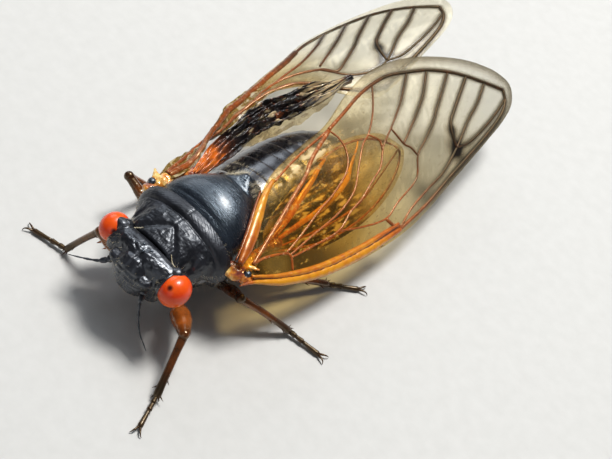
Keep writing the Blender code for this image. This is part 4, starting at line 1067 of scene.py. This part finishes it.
def left_forewing(u, w):
    along, across, out = plane_axes(WING_YAW, WING_PITCH, WING_TILT)
    u, w = u[..., None], w[..., None]
    return WING_ROOT + along * u + across * w - out * (WING_CAMBER * w * w - WING_LIFT)


def left_hindwing(u, w):
    _, _, out = plane_axes(WING_YAW, WING_PITCH, WING_TILT)
    fold = 0.16 * np.sin(w * 2.6) * np.clip(w, 0, 1)
    return left_forewing(u, w) - out * (HINDWING_DROP - fold)[..., None]


def right_forewing(u, w):
    along, across, out = plane_axes(RIGHT_YAW, RIGHT_PITCH, RIGHT_TILT)
    outer = (RIGHT_OUTER + along * (u - RIGHT_OUTER_U)[..., None] + across * w[..., None]
             - out * (RIGHT_CURL * w * w - WING_LIFT)[..., None])
    place = np.clip(u / SPINE_STEP, 0, len(RIGHT_SPINE) - 1)
    middle = at_spots(place, np.arange(len(RIGHT_SPINE)), RIGHT_SPINE)
    turn = HALF_TURN * ease(u, 1, 17)
    aside = np.stack([np.cos(turn), np.zeros_like(turn), np.sin(turn)], axis=-1)
    over = np.cross(aside, (0, 1, 0))
    crease = 0.1 * np.sin(u * 1.15) + 0.015 * np.sin(u * 4.3 + w * 3)
    strand = middle + aside * (w - SPINE_W)[..., None] + over * crease[..., None]
    share = ease(u, 15.5, 20.5)[..., None]
    return strand * (1 - share) + outer * share


def lifted(place, u, w, height):
    """Points on a wing surface, raised from it by height."""
    run_u = place(u + NORMAL_STEP, w) - place(u - NORMAL_STEP, w)
    run_w = place(u, w + NORMAL_STEP) - place(u, w - NORMAL_STEP)
    return place(u, w) + units(np.cross(run_u, run_w)) * height[..., None]


def wing_layout(outline, rows, cols):
    """A grid of u and w that fills the outline, fine towards the tip."""
    rim = spline(np.array(outline + outline[:1]), 10)[:-1]
    tip, root = rim[:, 0].argmax(), rim[:, 0].argmin()
    front = rim[root:tip + 1] if root < tip else np.vstack([rim[root:], rim[:tip + 1]])
    rear = np.vstack([rim[tip:], rim[:root + 1]]) if root < tip else rim[tip:root + 1]
    rear = rear[::-1]
    share = np.linspace(0, 1, rows)
    u = rim[root, 0] + (rim[tip, 0] - rim[root, 0]) * (1 - (1 - share) ** 1.5)
    low, high = np.interp(u, front[:, 0], front[:, 1]), np.interp(u, rear[:, 0], rear[:, 1])
    if low.sum() > high.sum():
        low, high = high, low
    spread = np.linspace(0, 1, cols)
    return np.repeat(u[:, None], cols, axis=1), low[:, None] + (high - low)[:, None] * spread[None, :]


def nearest(u, w, paths):
    """Distance from each point of a layout to the nearest of the paths."""
    samples = np.vstack(paths)
    spots = np.stack([u.ravel(), w.ravel()], axis=1)
    best = np.full(len(spots), np.inf)
    for start in range(0, len(samples), 200):
        gap = spots[:, None, :] - samples[None, start:start + 200, :]
        best = np.minimum(best, np.sqrt((gap ** 2).sum(2)).min(1))
    return best.reshape(u.shape)


def film(place, u, w, height):
    """A thin closed sheet over the layout."""
    half = FILM_THICKNESS / 2
    return sheet(lifted(place, u, w, height + half), lifted(place, u, w, height - half))


def band(place, route, half_width, thickness):
    """A vein: a rounded band that hugs the wing's surface. Returns its shape and u at each point."""
    path = even(spline(route, 10), 0.2)
    count, sides = len(path), 10
    ahead = units(np.gradient(path, axis=0))
    cross = np.stack([-ahead[:, 1], ahead[:, 0]], axis=1)
    share = np.linspace(0, 1, count)
    bead = 1 + 0.08 * lumps(np.column_stack([path, np.zeros(count)]), 0.35, 2, 12.0)
    width = np.interp(share, np.linspace(0, 1, len(half_width)), half_width) * bead
    depth = np.interp(share, np.linspace(0, 1, len(thickness)), thickness) * bead ** 2
    angle = 2 * math.pi * np.arange(sides) / sides
    u, w = (path[:, k:k + 1] + cross[:, k:k + 1] * width[:, None] * np.cos(angle) for k in range(2))
    made = closed(lifted(place, u, w, depth[:, None] * np.sin(angle)))
    return made, np.concatenate([np.repeat(path[:, 0], sides), path[[0, -1], 0]])


def membrane(name, place, outline, grid, veins, look, paint, height):
    """A wing's film. paint gives its amber, its smoke with painted shade and its cream with painted glints,
    from u, w and the distance to a vein.
    """
    u, w = wing_layout(outline, *grid)
    gap = nearest(u, w, [even(spline(route, 10), 0.12) for _, route in veins.values()])
    values = {key: np.tile(value.ravel(), 2) for key, value in zip(FILM_VALUES, paint(u, w, gap))}
    make_piece(name + "_film", film(place, u, w, height(u, w, gap)), look, "wing_membrane", (name,), **values)


def vein_tone(vein, u):
    if vein in ("costa", "rear_strand"):
        return 0.5 + 0.02 * ease(u, 4, 14) + 0.42 * ease(u, 17, 25)
    return 0.4 + 0.06 * ease(u, 8, 17) + 0.46 * ease(u, 17, 26)


def make_veins(name, place, veins):
    shape = Shape()
    for vein, (radius, route) in veins.items():
        made, run = band(place, route, (radius, radius), (radius * 0.85, radius * 0.85))
        shape.add(made, tone=vein_tone(vein, run))
    make_shape(name + "_veins", shape, VEINS, None)


def flat_lumps(u, w, size, seed, draw=0.6, octaves=3):
    """Smooth random values over a wing's layout, drawn out along the wing."""
    spots = np.stack([u.ravel() * draw, w.ravel(), np.zeros(u.size)], axis=1)
    return lumps(spots, size, octaves, seed).reshape(u.shape)


def streaks(u, w, seed):
    """Smooth random values drawn out far along the wing, like the edges of narrow pleats."""
    return flat_lumps(u, w, 0.42, seed, 0.28, 4)


def ripples(u, w, gap):
    """Soft pleats between the veins, flat at the veins themselves."""
    pleat = 0.022 * np.sin(2 * math.pi * (w + 0.5 * np.sin(u * 0.6)) / 2.1) * np.sin(u * 0.9 + w * 0.7)
    fine = 0.006 * np.sin(2 * math.pi * (u * 0.8 - w * 0.6) / 0.9 + 2 * np.sin(u * 1.7)) * np.sin(w * 2.1)
    return (pleat + fine) * ease(gap, 0.05, 0.5)


def crumple(u, w, gap):
    """The ripples, and the creases of the right wing's strand."""
    crease = np.sin(u * 2.9 + w * 2 + 2.5 * np.sin(u * 1.3))
    return ripples(u, w, gap) + 0.05 * crease * (1 - ease(u, 15, 19))


def outer_half(u):
    return ease(u, 19.5, 25.5)


def tip_smoke(u, w, gap):
    """Smoky edges of the outer veins, and the two dark marks on the wave-shaped bar."""
    marks = 1.5 * hump(np.hypot(u - 26.5, (w + 1.75) * 0.8), 0.72) + hump(np.hypot(u - 27.0, w + 0.1), 0.5)
    return outer_half(u) * 0.85 * hump(gap, 0.25) + 0.95 * marks


def left_paint(u, w, gap):
    margin = hump(nearest(u, w, [even(spline(FOREWING_OUTLINE, 6), 0.2)]), 0.6)
    smoke = tip_smoke(u, w, gap) + 0.6 * hump(np.hypot(u - 2.9, w + 1.25), 1.0)
    smoke = smoke + 0.45 * outer_half(u) * margin
    cream = 0.9 * hump(w - 4.2 - 0.05 * (u - 9), 0.65) * ease(u, 5.5, 7.5) * (1 - ease(u, 13, 15))
    cream = cream * ease(flat_lumps(u, w, 0.5, 2.0), -0.2, 0.2)
    return 0.95 - 0.72 * ease(u, 9, 24) - 0.15 * ease(u, 26, 34), np.clip(smoke, 0, 1), cream


def right_paint(u, w, gap):
    smoke = tip_smoke(u, w, gap) + 0.55 * (1 - ease(u, 15, 19))
    # Pale spots on the crumpled strand: painted glints.
    cream = 0.85 * (1 - ease(u, 15, 18)) * ease(flat_lumps(u, w, 0.5, 6.0), 0.1, 0.34)
    return 1.0 - 0.85 * ease(u, 15, 24), np.clip(smoke, 0, 1), cream


def hind_paint(u, w, gap):
    # Along the pleats: painted shade on one edge (smoke) and painted highlights on the other (cream).
    pleats = streaks(u, w, 4.0)
    smoke = 0.95 * ease(-pleats, -0.22, 0.08) * ease(u, 4, 6) * (1 - ease(u, 12, 16))
    cream = 0.95 * ease(pleats, 0.16, 0.34) * ease(u, 4.5, 7) * (1 - ease(u, 13, 17))
    return 0.9 - 0.4 * ease(u, 12, 20), smoke, cream


COSTA_BANDS = (
    (COSTA_ROUTE, (0, 0), (0.06, 0.3, 0.38, 0.4, 0.36, 0.2), (0.06, 0.3, 0.36, 0.36, 0.3, 0.18),
     lambda u: 0.02 + 0.25 * ease(u, 12, 17) + 0.3 * (1 - ease(u, -0.6, 0.6))),
    (COSTA_ROUTE[1:], (0, 0.48), (0.12, 0.25, 0.28, 0.24, 0.14), (0.12, 0.34, 0.36, 0.28, 0.16),
     lambda u: 0.12 + 0.2 * ease(u, 12, 17)),
    (COSTA_ROUTE[1:], (0, 0.27), (0.05, 0.08, 0.08, 0.08, 0.05), (0.1, 0.25, 0.27, 0.22, 0.1),
     lambda u: 0.68),
    (ROOT_EDGE, (0, 0), (0.16, 0.28, 0.42, 0.52, 0.5, 0.25), (0.14, 0.22, 0.28, 0.32, 0.3, 0.16),
     lambda u: 0.05 + 0.25 * (1 - ease(u, 0.8, 4.0))),
    (ROOT_EDGE[1:], (-0.22, 0.4), (0.06, 0.12, 0.14, 0.12, 0.06), (0.08, 0.16, 0.18, 0.16, 0.08),
     lambda u: 0.42),
)


def make_left_forewing():
    name = "forewing_left"
    membrane(name, left_forewing, FOREWING_OUTLINE, (260, 96), FOREWING_VEINS, FILM, left_paint, ripples)
    make_veins(name, left_forewing, FOREWING_VEINS)
    shape = Shape()
    for route, shift, half_width, thickness, tone in COSTA_BANDS:
        moved = [(u + shift[0], w + shift[1]) for u, w in route]
        made, run = band(left_forewing, moved, half_width, thickness)
        shape.add(made, tone=tone(run))
    make_shape("forewing_left_costa", shape, COSTA, None)


def make_left_hindwing():
    name = "hindwing_left"
    membrane(name, left_hindwing, HINDWING_OUTLINE, (130, 60), HINDWING_VEINS, HIND_FILM, hind_paint, ripples)
    shape = Shape()
    for radius, route in HINDWING_VEINS.values():
        wide = radius > 0.2
        thick = radius * np.array((0.6, 1.0, 1.15, 0.9, 0.3) if wide else (0.8, 1.0, 0.8))
        made, run = band(left_hindwing, route, thick, thick * 0.6)
        shape.add(made, tone=0.3 - 0.3 * ease(run, 4.5, 11) if wide else 0.3 + 0.3 * ease(run, 12, 19))
    make_shape("hindwing_left_veins", shape, VEINS, None)


def make_right_forewing():
    name = "forewing_right"
    membrane(name, right_forewing, RIGHT_FOREWING_OUTLINE, (260, 80), RIGHT_FOREWING_VEINS, FILM, right_paint,
             crumple)
    make_veins(name, right_forewing, RIGHT_FOREWING_VEINS)


# The right hindwing never opened: sheets folded into a bundle along the right side

BUNDLE_SPINE = ((-3.5, 11.4, 6.5), (-3.8, 12.6, 6.8), (-4.2, 15.0, 6.9), (-4.5, 17.8, 7.1), (-4.5, 20.6, 7.4),
                (-4.2, 23.4, 7.6), (-3.8, 26.4, 7.8), (-3.4, 29.6, 8.0))
BUNDLE_LAYERS = ((0.18, 0.15, 3.4), (-0.05, -0.35, 2.6), (-0.28, 0.4, 3.0))
LAYER_THICKNESS = 0.09


def make_bundle():
    """Three crumpled sheets, each pleated lengthwise and wound about the same line."""
    line = even(spline(BUNDLE_SPINE, 12), 0.1)
    t, s = np.linspace(0, 1, len(line))[:, None], np.linspace(-1, 1, 90)[None, :]
    half = 0.35 + 0.95 * np.sin(math.pi * np.clip(t * 1.08, 0, 1)) ** 0.7
    shape = Shape()
    for layer, (rise, turn, pleats) in enumerate(BUNDLE_LAYERS):
        wind = turn + 0.5 * np.sin(t * 7 + layer * 2)
        wave = 0.3 * np.sin(pleats * math.pi * s + 4 * np.sin(t * 4 + layer))
        wave = wave + 0.05 * np.sin(31 * t + 5 * s + layer)
        field = np.stack(np.broadcast_arrays(t * 14, s * 1.6, float(layer)), axis=2)
        wave = wave + 0.36 * lumps(field.reshape(-1, 3), 1.0, 4, 11.0).reshape(wave.shape)
        wave = wave * np.sin(math.pi * np.clip(t, 0.04, 0.98)) ** 0.5
        x = half * s * (1 - 0.12 * layer) + 0.05 * np.sin(23 * t + layer)
        z = wave * (0.5 + half * 0.5) + rise - 0.25 * s ** 2
        wound = [x * np.cos(wind) - z * np.sin(wind) * 0.4, np.zeros_like(x), x * np.sin(wind) * 0.5 + z]
        upper = line[:, None, :] + np.stack(wound, axis=2)
        points, faces = sheet(upper, upper - (0, 0, LAYER_THICKNESS))
        run, spread = (np.tile(np.broadcast_to(value, x.shape).ravel(), 2) for value in (t, s))
        mottle = lumps(points * (1.0, 0.35, 1.0), 0.5, 3, 3.0 + layer)
        tone = 0.29 + 0.53 * ease(run, 0.09, 0.29) + 0.28 * ease(-mottle, -0.05, 0.35) * ease(run, 0.2, 0.32)
        tone = tone - 0.26 * ease(lumps(points, 1.3, 3, 9.0 + layer), 0.05, 0.4) * ease(run, 0.3, 0.4)
        tone = tone + 0.3 * mottle * (1 - ease(run, 0.2, 0.34))
        pale = 0.75 * ease(run, 0.68, 0.78) * (1 - ease(run, 0.93, 0.97))
        pale = pale * ease(np.sin(9 * spread * math.pi), -0.3, 0.6)
        # The pale spots on the mottle are painted glints; the pale stripes near the sheets' end are added to
        # them.
        cream = np.clip(0.7 * ease(mottle, 0.42, 0.62) * ease(run, 0.22, 0.34) + pale, 0, 1)
        shape.add((points, faces), tone=tone, cream=cream)
    make_shape("hindwing_right_bundle", shape, CRUMPLED, "crumpled_wing", ("hindwing_right",))


def bundle_flap(u, w):
    """The loose film that hangs from the bundle towards the back; u runs along the bundle."""
    line = even(spline(BUNDLE_SPINE, 12), 0.1)
    run = np.arange(len(line)) * 0.1
    along = np.stack([np.interp(u, run, line[:, k]) for k in range(3)], axis=-1)
    sag = -0.35 * w - 0.1 * w * w + 0.09 * np.sin(2.3 * u + 1.7 * w) + 0.05 * np.sin(5.1 * u - 2 * w)
    return along + np.stack([0.9 * w, 0.1 * np.sin(1.3 * u), sag], axis=-1)


def make_bundle_film():
    rows, cols = 150, 36
    share = np.linspace(0, 1, rows)
    u = 4.4 + 11.8 * share
    ragged = lumps(np.column_stack([u, np.zeros(rows), np.zeros(rows)]), 1.3, 3, 5.0)
    reach = 0.5 + 1.3 * np.sin(math.pi * share) ** 0.6 * (1 + 0.12 * ragged)
    u = np.repeat(u[:, None], cols, axis=1)
    w = reach[:, None] * np.linspace(0, 1, cols)[None, :]
    made = film(bundle_flap, u, w, 0.03 * np.sin(3.0 * u + 4.0 * w))
    # Along the pleats: painted shade on one edge and painted glints on the other, over a faint smoke.
    pleats = np.tile(streaks(u, w, 8.0).ravel(), 2)
    make_piece("hindwing_right_film", made, FILM, "wing_membrane", (), amber=0.3,
               smoke=0.05 + 0.2 * ease(-pleats, 0.0, 0.3), cream=0.2 * ease(pleats, 0.25, 0.5))


# Wing roots

ROOT_BALLS = {
    "left": (((4.85, 7.65, 5.75), (0.95, 0.75, 0.62)), ((5.15, 8.85, 6.1), (0.62, 0.8, 0.42)),
             ((5.75, 7.95, 5.75), (0.75, 0.65, 0.5)), ((4.7, 7.05, 5.85), (0.5, 0.3, 0.22)),
             ((5.3, 8.45, 6.36), (0.5, 0.4, 0.22)), ((4.75, 12.3, 5.75), (0.55, 0.75, 0.4))),
    "right": (((-4.5, 7.6, 5.95), (0.8, 0.7, 0.55)), ((-4.5, 8.8, 6.4), (0.62, 0.9, 0.46)),
              ((-4.95, 8.3, 6.05), (0.5, 0.6, 0.4)), ((-4.3, 7.1, 6.1), (0.45, 0.3, 0.22)),
              ((-4.9, 8.5, 6.5), (0.5, 0.42, 0.2)), ((-3.9, 11.4, 6.1), (0.6, 0.8, 0.42))),
}
ROOT_BEADS = {"left": (5.82, 8.0, 6.18), "right": (-4.92, 7.95, 6.42)}


def make_wing_roots():
    for side_name, side in SIDES.items():
        balls = ROOT_BALLS[side_name]
        flap = np.array(balls[4][0])
        parts = [ball(centre, radii) for centre, radii in balls]
        parts.append(tube([balls[1][0], sided((4.6, 10.4, 5.9), side), balls[-1][0]], [0.4, 0.3, 0.35], 12))
        parts.append(tube([flap - (0, 0.35, 0.02), flap + sided((0.3, 0.1, 0.06), side),
                           flap + sided((0.85, 0.5, 0), side)], [0.3, 0.24, 0.1], 12, 0.6))
        made = roughened(clay(parts, 0.06, 8), 0.07, 0.4, 4, 7.0)
        y = made[0][:, 1]
        from_flap = np.linalg.norm(made[0] - flap - sided((0.2, 0.1, 0), side), axis=1)
        tone = (0.16 + 0.26 * (1 - ease(y, 7.9, 8.5)) - 0.35 * hump(y - 6.9, 0.3) + 0.3 * ease(y, 9.4, 11.0)
                - 0.3 * hump(from_flap, 0.65))
        make_piece("wing_root_" + side_name, made, AMBER, "crumpled_wing", (), tone=tone)
        bead = ball(ROOT_BEADS[side_name], (0.34, 0.34, 0.28), rows=20, cols=28)
        make_piece("wing_root_bead_" + side_name, bead, DOME, "black_cuticle")


# Hairs

UNWRAP_HEIGHT, UNWRAP_LENGTH = 4.0, 30.0
PATCH = 0.003


def make_hairs(name, roots, directions, length, radius, droop):
    """Fine hairs: three-sided tapered tubes, rooted in the skin. Each has its patch on the unwrap."""
    shape, places = Shape(), []
    t = np.linspace(0, 1, 5)[:, None]
    for root, direction in zip(roots, directions):
        size = length * RANDOM.uniform(0.6, 1.25)
        sway = np.array([RANDOM.uniform(-0.25, 0.25), RANDOM.uniform(-0.25, 0.25), -droop])
        path = root + direction * size * t + sway * size * t ** 2
        made = tube(path, radius * (1 - 0.85 * t[:, 0]), 3)
        shape.add(made)
        around = 0.5 + math.atan2(root[0], root[2] - UNWRAP_HEIGHT) / (2 * math.pi)
        places += [(around, 0.05 + root[1] / UNWRAP_LENGTH)] * len(made[0])
    mesh = make_shape("hair_" + name, shape, HAIR, None).data
    spread = [(i * 7 % 11 / 11 - 0.5, i * 5 % 13 / 13 - 0.5) for i in range(len(places))]
    places = np.array(places) + np.array(spread) * PATCH
    corner = np.zeros(len(mesh.loops), np.int32)
    mesh.loops.foreach_get("vertex_index", corner)
    mesh.uv_layers.new(name="OFBake").data.foreach_set("uv", places[corner].astype(np.float32).ravel())


def comb(name, skin, chosen, lie, share, *hair):
    """Hairs on the chosen points of a skin, turned from its normals towards lie by a share."""
    points, normals = skin
    ways = units(normals[chosen] * (1 - share) + np.array(lie, float) * share)
    make_hairs(name, points[chosen], ways, *hair)


def pick(keep, count):
    """A seeded choice of the places where keep is true."""
    choice = np.flatnonzero(keep).tolist()
    return RANDOM.sample(choice, min(count, len(choice)))


def skin_of(name):
    mesh = bpy.data.objects[name].data
    return read_rows(mesh.vertices, "co") / MM - SHIFT, read_rows(mesh.vertex_normals, "vector")


CORNER_RIMS = {
    "left": ((1.6, 3.62), (1.95, 3.45), (2.3, 3.38), (2.6, 3.42), (2.8, 3.6)),
    "right": ((-1.5, 3.6), (-1.75, 3.42), (-2.05, 3.36), (-2.35, 3.4), (-2.55, 3.55)),
}


def make_corner_rim(side_name, plate):
    """The pale thin skin that edges the front plate's corner. Returns the line that it follows."""
    line = even(spline(CORNER_RIMS[side_name], 8), 0.05)
    heights = [plate[np.hypot(plate[:, 0] - x, plate[:, 1] - y) < 0.16][:, 2].max() for x, y in line]
    path = np.column_stack([line, np.array(heights) - 0.01])
    radii = 0.05 * np.sin(np.linspace(0.15, math.pi - 0.15, len(path))) ** 0.5
    make_piece("plate_rim_" + side_name, tube(path, radii, 10), HAIR, None)
    return path


def make_coat():
    head = skin_of("head_skin")
    x, y, z = head[0].T
    by_eyes = (np.abs(np.abs(x - HEAD_X) - 2.6) < 0.35) & (z > 4.2)
    comb("eyes", head, pick(by_eyes, 170), (0, -0.2, 0.3), 0.3, 0.4, 0.009, 0.1)
    comb("face", head, pick((z < 6.6) & (y < 2.6), 260), (0, -0.2, -0.4), 0.4, 0.26, 0.008, 0.2)
    plate = skin_of("pronotum_plate")
    rims = [make_corner_rim(side_name, plate[0]) for side_name in SIDES]
    choice = np.concatenate([np.linalg.norm(plate[0][:, None, :] - rim, axis=2).argmin(0) for rim in rims])
    comb("fringe", plate, choice, (0, -0.25, 0.6), 0.5, 0.24, 0.009, 0.1)
    x, y, z = plate[0].T
    edge = ((z < 5.8) | ((y > 7.2) & (np.abs(x) > 2.4))) & (plate[1][:, 2] > -0.3)
    comb("plate_edge", plate, pick(edge, 150), (0, 0.5, 0.1), 0.3, 0.26, 0.007, 0.15)
    back = skin_of("mesonotum_plate")
    x, y, z = back[0].T
    rear = (y > 12.4) & (np.abs(x) > 0.5) & (z > 5.8)
    comb("cross", back, pick(rear, 620), (0, 0.9, 0.1), 0.65, 0.42, 0.009, 0.2)
    sides = skin_of("thorax_skin")
    low = (sides[0][:, 2] < 5.6) & (np.abs(sides[1][:, 1]) < 0.8)
    comb("thorax", sides, pick(low, 900), (0, 0.6, -0.2), 0.45, 0.4, 0.009, 0.25)
    rings = skin_of("abdomen_skin")
    _, y, z = rings[0].T
    comb("waist", rings, pick((y < 15.6) & (z > 4.0), 260), (0, 1, 0), 0.75, 0.4, 0.01, 0.1)
    comb("abdomen", rings, pick((y > 15.6) & (z < 5.2), 450), (0, 1, 0), 0.85, 0.2, 0.006, 0.05)


RUGOSE = rugose_look("rugose_cuticle", 0.29, 0.7, 1.0)
PLATE = rugose_look("plate_cuticle", 0.34, 0.55, 0.68)
DOME = dome_look()
RINGS = ring_look()
VEINS = tone_look("orange_vein", VEIN_STOPS, 0.26, 0.12, 0.025, 0.6)
COSTA = tone_look("costa_cuticle", COSTA_STOPS, 0.3, 0.45, 0.03, wet=0.24)
AMBER = tone_look("root_cuticle", ROOT_STOPS, 0.22, 0.9, 0.06, mottled=0.38)
LEGS_LOOK = tone_look("leg_cuticle", LEG_STOPS, 0.22, 0.7, 0.025)
FILM = membrane_look("wing_film", 0.025)
HIND_FILM = membrane_look("hindwing_film", 0.06, 0.1)
CRUMPLED = crumpled_look()
HAIR = hair_look()

make_camera()
make_studio()
make_head()
for side_name, side in SIDES.items():
    make_eye(side_name, side)
    make_antenna(side_name)
make_pronotum()
make_mesonotum()
make_thorax()
make_abdomen()
make_beak()
make_legs()
make_left_forewing()
make_left_hindwing()
make_right_forewing()
make_bundle()
make_bundle_film()
make_wing_roots()
make_coat()
